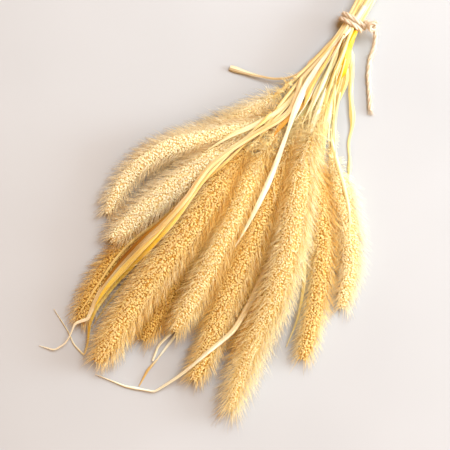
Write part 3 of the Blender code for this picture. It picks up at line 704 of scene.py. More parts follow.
# Stems: one hollow straw for each head, thin at the neck and thickest at its cut end.
stems = {
    "seed": 140,
    "sides": 12,
    "pitch": 2.0,
    "radius": ((-110, 0.75), (0, 1.0), (150, 1.15)),  # distance past the tie, then mm
    "oval": 0.035,  # a dried straw is never quite round
    "ovalTurn": 0.02,  # radians a mm
    "wall": 0.45,  # share of the radius that the straw's wall takes
    "hollow": 5.0,  # how deep the open end is modelled
    "hollowTaper": 0.9,
    "snip": 0.5,  # the steepest slant of the cut
    "jointEvery": (48.0, 78.0),
    "firstJoint": 30.0,  # it lies up to this much sooner than the others
    "mostJoints": 6,
    "jointToEnd": 12.0,
    "joint": 0.16,  # how far a joint stands out, as a share of the radius
    "jointWidth": 0.8,
    # closer rows where a joint comes, so that it is a ring and not a long swelling
    "jointRows": (-1.6, -0.9, -0.45, 0, 0.45, 0.9, 1.6),
    "jointDark": 0.75,
    "cutEdgeAndHollowShade": (0.25, 1.0),  # the cut edge a little darker, and the inside of the hollow fully dark as painted shade
    "sheath": 0.09,  # the leaf sheath before a joint, as a share of the radius
    "sheathRun": (26.0, 3.0),  # its length, and the length of its edge
    "sharp": 40,
    "routes": {
        1: [(-40.7, -38.3, 8.5), (-34.9, -33.7, 8.7), (-25.8, -25.4, 8.1), (-13.7, -12.9, 6.5),
            (-5.4, -3.6, 5.7), (7.6, 20.6, 5.5), (29.9, 65.4, 4.0), (61.9, 127.8, 3.4)],
        2: [(-45.7, -49.4, 12.0), (-43.6, -48.3, 11.7), (-39.8, -45.3, 11.3), (-31.2, -36.6, 10.4),
            (-18.9, -21.1, 9.1), (-5.6, -3.0, 8.1), (6.2, 19.0, 8.1), (27.8, 64.2, 7.5),
            (59.9, 126.4, 6.4)],
        3: [(-56.8, -59.3, 13.0), (-54.1, -59.3, 13.2), (-43.5, -51.6, 14.5), (-37.7, -43.2, 13.2),
            (-31.6, -35.3, 12.2), (-11.8, -12.8, 10.7), (-4.2, -2.9, 10.2), (8.8, 21.3, 10.3),
            (31.2, 66.1, 10.5), (63.1, 125.7, 9.1)],
        4: [(-81.8, -89.3, 4.2), (-65.8, -73.6, 4.1), (-40.8, -45.9, 3.9), (-18.4, -22.6, 4.0),
            (-11.9, -15.1, 4.1), (-4.4, -5.2, 4.1), (8.9, 18.8, 3.9), (36.9, 71.5, 1.7),
            (71.3, 135.0, 1.4)],
        5: [(-53.3, -65.3, 14.5), (-37.0, -46.3, 12.7), (-16.4, -21.3, 9.7), (-8.8, -11.4, 8.7),
            (-3.1, -3.2, 8.2), (13.7, 27.6, 8.1), (71.9, 135.8, 6.5)],
        6: [(-44.4, -64.2, 14.0), (-40.6, -57.8, 13.5), (-33.7, -47.4, 12.8), (-12.8, -19.5, 11.6),
            (-2.8, -5.2, 11.1), (38.4, 69.0, 11.7), (75.8, 136.7, 10.2)],
        7: [(-31.9, -61.7, 12.0), (-23.8, -46.3, 11.3), (-1.3, -4.8, 8.2), (21.8, 36.5, 8.0),
            (78.7, 135.9, 6.5)],
        8: [(-20.9, -56.7, 12.5), (-13.1, -35.8, 11.1), (-0.7, -6.0, 10.2), (14.0, 19.9, 10.3),
            (39.5, 62.6, 10.5), (74.6, 122.7, 9.1)],
        9: [(-19.5, -69.2, 7.0), (-19.7, -66.8, 7.2), (-18.7, -59.5, 7.5), (-15.6, -47.7, 7.8),
            (-5.1, -19.9, 8.0), (0.6, -6.1, 8.1), (14.2, 17.7, 8.1), (40.6, 59.9, 7.5),
            (78.9, 124.1, 6.4)],
        10: [(-10.6, -69.2, 6.0), (-11.0, -66.8, 6.2), (-11.0, -59.5, 6.4), (-9.7, -47.3, 6.4),
             (-4.0, -20.6, 5.9), (0.0, -6.3, 5.7), (14.9, 19.7, 5.5), (46.3, 70.7, 3.9),
             (82.8, 133.2, 3.4)],
        11: [(-60.9, -74.2, 5.0), (-55.6, -65.8, 5.3), (-48.1, -55.9, 5.6), (-41.4, -48.4, 5.7),
             (-17.2, -23.0, 6.0), (-9.1, -13.5, 6.1), (-3.1, -5.5, 6.1), (10.3, 18.6, 6.0),
             (39.5, 71.3, 4.5), (72.4, 130.6, 4.0)],
        12: [(-35.4, -76.7, 5.0), (-32.5, -67.2, 5.1), (-27.7, -55.7, 5.0), (-1.1, -4.5, 4.1),
             (12.4, 19.6, 3.9), (42.5, 71.8, 1.7), (79.6, 137.3, 1.4)],
    },
}


def stemRadius(line):
    return readOff(stems["radius"], line @ alongBunch)


stemLines = {number: smoothLine(route, stems["pitch"]) for number, route in stems["routes"].items()}


def buildStem(number, line):
    rng = np.random.default_rng(stems["seed"] + number)
    sides = stems["sides"]
    reach = reachAlong(line)
    joints = np.cumsum(rng.uniform(*stems["jointEvery"], stems["mostJoints"]))
    joints -= rng.uniform(0, stems["firstJoint"])
    joints = joints[joints < reach[-1] - stems["jointToEnd"]]
    near = [joint + step for joint in joints for step in stems["jointRows"]]
    places = np.unique(np.concatenate([reach, near]))
    line = pointsAt(places, reach, line)
    _, left, up = levelFrames(line)
    ahead = joints[None] - places[:, None]
    swell = np.exp(-(np.abs(ahead).min(axis=1) / stems["jointWidth"]) ** 2)
    run, edge = stems["sheathRun"]
    sheathed = np.clip((run - np.where(ahead > 0, ahead, np.inf).min(axis=1)) / edge, 0, 1)
    radius = stemRadius(line) * (1 + stems["joint"] * swell + stems["sheath"] * sheathed)
    angles = roundAngles(sides)
    turned = 2 * angles[None] + rng.uniform(0, 6) + places[:, None] * stems["ovalTurn"]
    oval = 1 + stems["oval"] * np.cos(turned)
    around = rings(line, radius[:, None] * oval, sides, left, up)
    cutWay = directions(line)[-1]
    inside = radius[-1] * (1 - stems["wall"])
    mouth = rings(
        np.array([line[-1], line[-1] - cutWay * stems["hollow"]]),
        np.array([inside, inside * stems["hollowTaper"]]), sides, left[[-1, -1]], up[[-1, -1]])
    slant = rng.uniform(-stems["snip"], stems["snip"])
    for ring in (around[-1], mouth[0]):
        ring += cutWay * slant * ((ring - line[-1]) @ left[-1])[:, None]
    whole = np.concatenate([around, mouth])
    acrossStem = np.abs(angles / math.pi - 1) * math.pi * radius[0]
    alongStem = np.append(places, [places[-1], places[-1] - stems["hollow"]])
    # dark joints, then the cut edge and the painted shade inside the hollow
    jointsAndHollowShade = np.append(swell * stems["jointDark"], stems["cutEdgeAndHollowShade"])
    bag = newBag("acrossMm", "alongMm", "joint")
    addTo(
        bag, whole, ringFaces(len(whole), sides),
        acrossMm=np.tile(acrossStem, len(whole)) + number * 11.0,  # each stem has its own pattern
        alongMm=np.repeat(alongStem, sides), joint=np.repeat(jointsAndHollowShade, sides))
    makePiece(f"straw_{number:02d}", bag, [straw], f"stem_{number:02d}", stems["sharp"])


for number, line in stemLines.items():
    buildStem(number, line)
print("stems made")


# Leaves: dried blades that wrap their stem at the foot and are drawn out to a thread at the tip.
# A blade's widths and ages are given at places from foot to tip, fold is the depth of the crease
# at the rib, and crisp the point of the route from which the dry end is folded sharply.
leaves = {
    "seed": 240,
    "pitch": 1.5,
    "columns": 11,
    "thick": 0.16,
    "thinEdge": 0.55,  # how much thinner the edges are, as a share
    "widths": ((0, 0.45), (0.35, 1.0), (0.68, 0.68), (1, 0.12)),  # place, then share of the width
    # how much the width, the edges, the twist and the ages vary, and over how many rows
    "uneven": (0.05, 5),
    "crinkle": (0.14, 4),  # outside the place in the next line
    "crinkleFrom": 0.75,
    "twist": (9.0, 16),  # degrees that the blade turns as it dries
    "agedUneven": (0.12, 6),
    "fold": 0.5,
    "ridge": 0.07,  # how far the ribs stand out
    "sheathRun": 14.0,  # length of the sheath round the stem
    "sheathGap": 0.22,
    "sheathBend": 5.0,  # radians that the sheath goes round
    "openOver": 11.0,  # the length in which it opens to the flat blade
    "openBefore": 2.0,  # and how far before the sheath's end it starts to
    "bend": 0.22,
    "feet": {"above": 0.0, "below": math.pi, "right": -math.pi / 2},  # the stem's side that it grows on
    "aged": ((0, 0.1), (1, 0.1)),
    "agedEdge": (1.3, 0.7),  # the edges dry out first: how much, and from which place
    "clear": 0.06,
    "sharp": 35,
    "blades": {
        7: dict(stem=6, foot="below", tint="pale", crisp=9, aged=((0, 0.6), (0.75, 0.3), (0.85, 0), (1, 0)),
                widths=((0, 1.4), (0.35, 3.2), (0.75, 2.2), (0.88, 1.5), (1, 0.9)), route=[
            (-39.3, -55.7, 11.3), (-47.0, -71.1, 8.8), (-51.0, -78.8, 7.8), (-55.1, -86.4, 6.9),
            (-59.1, -94.2, 6.4), (-73.9, -125.7, 6.4), (-77.7, -133.5, 6.2), (-81.7, -141.2, 5.8),
            (-86.0, -148.8, 5.1), (-90.7, -155.4, 4.3), (-98.1, -162.9, 3.4), (-101.0, -170.6, 2.3)]),
        # its tip is drawn brown with the aged colour: painted shade
        16: dict(stem=11, tint="pale", crisp=6, aged=((0, 0.5), (0.6, 0), (0.84, 0), (0.92, 0.9), (1, 1)),
                 widths=((0, 1.2), (0.3, 2.4), (0.8, 1.6), (0.86, 0.9), (0.93, 1.5), (1, 0.5)), route=[
            (-57.0, -67.8, 6.9), (-70.6, -107.6, 2.2), (-73.7, -115.5, 1.5), (-77.1, -123.2, 1.1),
            (-81.0, -130.8, 0.9), (-85.5, -147.5, 1.0), (-88.2, -156.0, 1.0), (-99.6, -170.9, 1.0),
            (-103.6, -175.4, 1.1), (-108.0, -183.5, 1.2)]),
        8: dict(stem=9, width=3.0, tint="straw", aged=((0, 0.5), (0.8, 0.5), (0.95, 0), (1, 0)), route=[
            (-19.1, -61.9, 9.1), (-22.7, -87.6, 8.0), (-24.5, -104.7, 8.1), (-25.0, -113.3, 8.0),
            (-24.9, -130.6, 7.1), (-25.9, -139.1, 6.3), (-27.6, -147.5, 5.2), (-33.5, -163.5, 2.5)]),
        6: dict(stem=12, tint="pale", crisp=15, aged=((0, 0.6), (0.5, 0.6), (0.6, 0), (0.9, 0), (1, 0.5)),
                fold=0.9, widths=((0, 1.4), (0.3, 2.8), (0.45, 3.1), (0.58, 2.3), (0.8, 1.3), (0.86, 1.1),
                                  (0.87, 1.5), (0.93, 0.9), (1, 0.3)), route=[
            (-33.4, -69.5, 6.8), (-34.8, -85.9, 9.5), (-35.7, -94.2, 10.3), (-36.6, -102.5, 10.3),
            (-38.1, -110.7, 10.2), (-41.1, -118.5, 10.3), (-45.0, -125.9, 10.5),
            (-52.1, -141.0, 10.5), (-56.1, -148.2, 12.0), (-60.7, -154.9, 13.6),
            (-66.9, -160.4, 13.6), (-73.4, -165.7, 12.7), (-79.4, -171.0, 10.5),
            (-85.3, -176.1, 7.6), (-91.7, -180.8, 5.1), (-100.2, -186.2, 2.6),
            (-105.0, -185.4, 1.9), (-114.8, -183.6, 1.3), (-122.4, -180.6, 1.2),
            (-130.0, -177.5, 1.2)]),
        9: dict(stem=1, foot="below", tint="amber", fold=0.9, aged=((0, 0.6), (0.6, 0.2), (1, 0)),
                widths=((0, 1.6), (0.3, 1.2), (0.62, 1.3), (0.8, 1.9), (0.95, 3.3), (1, 2.6)), route=[
            (-18.8, -18.3, 5.1), (-24.6, -23.7, 5.4), (-31.4, -27.6, 5.3), (-39.2, -28.4, 4.5),
            (-46.9, -27.0, 3.2), (-62.0, -22.5, 2.0)]),
        12: dict(stem=10, foot="right", tint="straw", fold=0.6,
                 widths=((0, 1.4), (0.15, 2.8), (0.38, 2.2), (0.48, 3.2), (0.6, 1.6), (0.8, 1.4),
                         (0.92, 2.6), (1, 0.5)), route=[
            (-1.0, -16.8, 5.8), (-0.9, -25.7, 5.3), (-1.3, -34.6, 4.5), (-0.4, -52.1, 2.6),
            (-2.1, -60.8, 1.9), (-1.5, -69.6, 1.6), (-2.0, -78.5, 1.6)]),
        13: dict(stem=10, tint="cream", fold=0.5,
                 widths=((0, 1.2), (0.25, 2.2), (0.7, 1.5), (1, 0.3)), route=[
            (-11.0, -59.5, 7.9), (-9.1, -67.7, 9.1), (-6.8, -75.9, 10.1), (-4.6, -84.1, 10.6),
            (-2.8, -92.5, 10.2), (-2.0, -101.0, 9.9), (-2.5, -109.5, 9.6)]),
        15: dict(stem=9, tint="straw", widths=((0, 1.2), (0.45, 3.1), (1, 0.3)), route=[
            (-5.1, -19.9, 12.0), (-3.9, -28.1, 9.9), (-6.2, -36.1, 8.6), (-9.5, -44.0, 7.8)]),
        14: dict(stem=9, sheath=3, tint="yellow", aged=((0, 0.7), (0.4, 0.2), (0.7, 0.5), (1, 0.7)),
                 widths=((0, 2.2), (0.4, 5.0), (0.75, 5.2), (1, 0.4)), route=[
            (0.2, -6.1, 11.9), (-3.6, -14.4, 13.4), (-5.8, -23.4, 13.9), (-8.9, -32.0, 11.4)]),
        # drawn deep orange: painted shade where it lies in shadow
        11: dict(stem=7, sheath=0, tint="shadowOrange", aged=((0, 0.2), (1, 0.6)),
                 widths=((0, 0.8), (0.35, 2.2), (0.7, 3.0), (1, 0.4)), route=[
            (-17.5, -34.0, 12.6), (-24.0, -40.5, 13.6), (-30.5, -46.2, 14.3), (-36.5, -52.5, 14.7),
            (-41.3, -59.3, 15.0)]),
        10: dict(stem=5, tint="cream", fold=0.7, aged=((0, 0.6), (0.3, 0.1), (1, 0.2)),
                 widths=((0, 1.4), (0.25, 2.6), (0.6, 2.8), (0.8, 1.6), (1, 0.4)), route=[
            (-27.5, -34.7, 13.0), (-33.1, -40.6, 14.1), (-39.1, -46.1, 15.2), (-46.0, -50.4, 16.4),
            (-53.2, -54.0, 17.7), (-60.6, -57.3, 18.9), (-67.7, -61.5, 19.3), (-74.5, -66.0, 19.1)]),
        3: dict(stem=3, tint="golden",
                widths=((0, 1.0), (0.3, 2.0), (0.6, 1.6), (0.9, 1.1), (1, 0.4)), route=[
            (-47.7, -54.7, 15.4), (-53.4, -60.6, 17.0), (-64.9, -71.8, 20.8), (-71.2, -77.2, 21.2),
            (-77.2, -82.2, 18.5), (-82.9, -87.2, 15.2), (-88.7, -92.4, 12.6), (-94.8, -97.8, 11.0),
            (-101.4, -102.8, 10.3), (-108.0, -107.7, 10.1), (-114.2, -113.2, 10.1),
            (-119.6, -119.6, 10.0), (-124.4, -126.3, 9.8), (-133.5, -140.1, 9.1),
            (-138.0, -147.0, 8.1)]),
        4: dict(stem=11, sheath=0, tint="golden", aged=((0, 0.1), (0.6, 0.1), (1, 0)),
                widths=((0, 0.8), (0.3, 1.9), (0.7, 1.5), (0.9, 1.0), (1, 0.4)), route=[
            (-73.5, -77.0, 22.4), (-79.5, -84.2, 22.8), (-85.4, -91.4, 22.7), (-91.2, -98.8, 22.0),
            (-96.4, -106.0, 20.6), (-101.2, -113.6, 17.6), (-106.4, -121.4, 12.8),
            (-111.2, -127.1, 7.4), (-116.5, -133.0, 3.5), (-122.0, -139.5, 1.5), (-127.1, -146.7, 0.9),
            (-132.0, -154.0, 0.8)]),
        2: dict(stem=4, tint="ochre", crisp=15,
                aged=((0, 0.4), (0.3, 0.4), (0.42, 0.05), (0.8, 0.05), (0.88, 1), (1, 1)),
                widths=((0, 1.0), (0.25, 1.6), (0.38, 2.4), (0.6, 2.6), (0.7, 2.1), (0.8, 1.2), (0.86, 0.8),
                        (1, 0.25)), route=[
            (-42.4, -47.7, 17.6), (-54.6, -59.3, 19.5), (-66.6, -70.8, 22.2), (-72.3, -77.0, 22.8),
            (-77.6, -83.6, 22.6), (-82.4, -90.4, 23.1), (-87.4, -97.2, 23.3), (-92.7, -103.6, 22.1),
            (-98.3, -109.6, 20.2), (-103.9, -115.4, 17.8), (-109.0, -120.4, 13.4),
            (-114.1, -125.7, 9.2), (-119.6, -131.4, 6.4), (-124.9, -137.9, 5.7),
            (-129.8, -145.1, 5.9), (-132.8, -152.6, 4.1), (-133.6, -161.0, 2.3),
            (-135.6, -168.0, 1.2), (-141.2, -162.0, 0.9), (-143.6, -156.0, 0.8), (-147.2, -150.4, 0.8),
            (-151.0, -144.5, 0.8)]),
        1: dict(stem=3, tint="tan", crisp=20, fold=0.45,
                aged=((0, 0.1), (0.5, 0.05), (0.6, 0.2), (0.8, 0.3), (0.86, 1), (1, 1)),
                widths=((0, 1.6), (0.1, 2.6), (0.3, 2.6), (0.46, 2.5), (0.6, 3.8), (0.74, 3.0), (0.82, 1.8),
                        (0.86, 1.4), (0.89, 0.8), (0.96, 0.8), (1, 0.25)), route=[
            (-26.7, -29.5, 13.3), (-29.0, -37.4, 15.2), (-32.3, -44.9, 16.4), (-38.4, -50.5, 17.9),
            (-45.5, -54.6, 19.7), (-52.6, -58.9, 21.2), (-59.5, -63.4, 22.4), (-66.2, -68.3, 23.7),
            (-72.5, -73.9, 24.3), (-77.7, -80.4, 24.6), (-82.3, -87.4, 24.8), (-87.7, -93.8, 25.0),
            (-93.4, -99.9, 24.0), (-99.3, -105.6, 22.1), (-105.1, -110.7, 18.9),
            (-110.3, -115.8, 14.8), (-115.6, -121.4, 11.6), (-121.1, -127.6, 9.9),
            (-126.1, -134.2, 9.2), (-130.1, -141.6, 8.8), (-133.4, -149.2, 8.2),
            (-139.8, -151.2, 7.2), (-142.6, -158.0, 4.8), (-145.2, -161.8, 3.2), (-150.5, -165.2, 1.8),
            (-158.5, -163.0, 0.8)]),
        5: dict(stem=6, tint="pale", fold=0.3,
                widths=((0, 1.2), (0.15, 1.9), (0.27, 3.2), (0.38, 3.4), (0.48, 1.8), (0.57, 2.5),
                        (0.69, 3.1), (0.8, 2.5), (0.9, 1.5), (1, 0.3)), route=[
            (-2.8, -5.2, 12.7), (-8.7, -11.1, 13.0), (-14.1, -17.5, 13.4), (-19.0, -24.2, 14.2),
            (-23.3, -31.3, 15.5), (-27.0, -38.6, 17.0), (-30.2, -46.3, 18.1), (-32.9, -54.1, 17.6),
            (-35.7, -62.0, 17.4), (-38.5, -69.8, 18.2), (-41.6, -77.5, 19.6), (-44.9, -85.1, 20.0),
            (-48.5, -92.7, 19.7), (-52.3, -100.1, 19.1), (-60.5, -114.5, 17.0)]),
    },
}


def leafWidths(leaf, share):
    if "widths" in leaf:
        return readOff(leaf["widths"], share) / 2
    return readOff(leaves["widths"], share) * leaf["width"] / 2


# a leaf's own line: smooth, then with crisp kinks where the dry end was folded over
def bladeLine(leaf, pitch):
    route = leaf["route"]
    bent = leaf.get("crisp", len(route) - 1)
    line = smoothLine(route[:bent + 1], pitch)
    if bent < len(route) - 1:
        ends = evenLine(np.array(route[bent:], float), pitch)
        line = np.concatenate([line, ends[1:]])
        softened = line.copy()
        softened[1:-1] = (line[:-2] + 4 * line[1:-1] + line[2:]) / 6
        line = softened
    return line


# start is how far along the line the sheath ends, or 0 for a blade that has none
def buildBlade(name, line, start, leaf, rng, node=None):
    rows = len(line)
    reach = reachAlong(line)
    _, left, up = levelFrames(line)
    share = np.clip((reach - start) / (reach[-1] - start), 0, 1)

    def vary(name):
        amount, rowsEach = leaves[name]
        return amount * smoothNoise(rows, rowsEach, rng)

    opened = np.ones(rows)
    if start > 0:
        opened = np.clip((reach - start + leaves["openBefore"]) / leaves["openOver"], 0, 1)
        opened = opened**2 * (3 - 2 * opened)
    half = leafWidths(leaf, share) * (1 + vary("uneven"))
    sleeve = (stemRadius(line) + leaves["sheathGap"]) * leaves["sheathBend"] / 2
    half = (sleeve * (1 - opened) + half * opened)[:, None]
    bend = (leaves["sheathBend"] * (1 - opened) + leaves["bend"] * opened)[:, None]
    roll = np.radians(vary("twist") * opened)
    roll += leaves["feet"][leaf.get("foot", "above")] * (1 - opened)
    left, up = wayOut(left, up, roll), wayOut(up, -left, roll)
    opened = opened[:, None]

    u = np.linspace(1, -1, leaves["columns"])  # from the left edge to the right one
    arc = u * bend / 2
    curve = 2 * half / bend
    x = curve * np.sin(arc)
    y = curve * (np.cos(arc) - np.cos(bend / 2) * opened)
    y += leaf.get("fold", leaves["fold"]) * (0.5 - np.abs(u)) * half * opened
    ribs = np.where(np.arange(len(u)) % 2, 1, -1) * leaves["ridge"]
    y += ribs * opened * np.clip(half, 0, 1)
    edge = np.abs(u) > leaves["crinkleFrom"]
    y += edge * vary("crinkle")[:, None] * opened
    thin = leaves["thick"] / 2 * (1 - leaves["thinEdge"] * u**4) * np.clip(half, 0.3, 1)
    middle = line[:, None] + left[:, None] * x[..., None]
    top = middle + up[:, None] * (y + thin)[..., None]
    low = middle + up[:, None] * (y - thin)[..., None]
    ring = np.concatenate([top, low[:, ::-1]], axis=1)
    keepAbove(ring, leaves["clear"])
    both = np.concatenate([u, u[::-1]])
    aged = readOff(leaf.get("aged", leaves["aged"]), share) + vary("agedUneven")
    more, edgeFrom = leaves["agedEdge"]
    aged = aged[:, None] + more * np.clip(np.abs(both) - edgeFrom, 0, 1)
    bag = newBag("acrossMm", "alongMm", "aged")
    addTo(
        bag, ring, ringFaces(rows, len(both)),
        acrossMm=both * np.maximum(half, 0.6) + rng.uniform(0, 200),  # each blade has its own pattern
        alongMm=np.repeat(reach, len(both)), aged=np.clip(aged, 0, 1))
    makePiece(name, bag, [leafFinishes[leaf["tint"]]], node, leaves["sharp"])


def buildLeaf(number, leaf):
    rng = np.random.default_rng(leaves["seed"] + number)
    blade = bladeLine(leaf, leaves["pitch"])
    stem = evenLine(stemLines[leaf["stem"]], leaves["pitch"])
    at = np.linalg.norm(stem - blade[0], axis=1).argmin() + 2
    run = int(leaf.get("sheath", leaves["sheathRun"]) / leaves["pitch"])
    sheath = stem[at:at + run][::-1]
    line = np.concatenate([sheath, blade])
    buildBlade(f"blade_{number:02d}", line, reachAlong(line)[len(sheath)], leaf, rng, f"leaf_{number:02d}")


for number, leaf in leaves["blades"].items():
    buildLeaf(number, leaf)
print("leaves made")


# everything that is not a seed head, as rows of small balls, which are quick to keep clear of
balls = {"pitch": 1.2, "across": (-1, -0.5, 0, 0.5, 1), "crown": 0.3, "leaf": 0.35, "strand": 0.4}


def strawAndLeafBalls(without=None):
    places = [line for number, line in stemLines.items() if number != without]
    radii = [stemRadius(line) for line in places]
    for leaf in leaves["blades"].values():
        line = bladeLine(leaf, balls["pitch"])
        half = leafWidths(leaf, np.linspace(0, 1, len(line)))
        _, left, up = levelFrames(line)
        for u in balls["across"]:
            raised = half * balls["crown"] * (1 - abs(u))
            places.append(line + left * (half * u)[:, None] + up * raised[:, None])
            radii.append(np.full(len(line), balls["leaf"]))
    return np.concatenate(places), np.concatenate(radii)


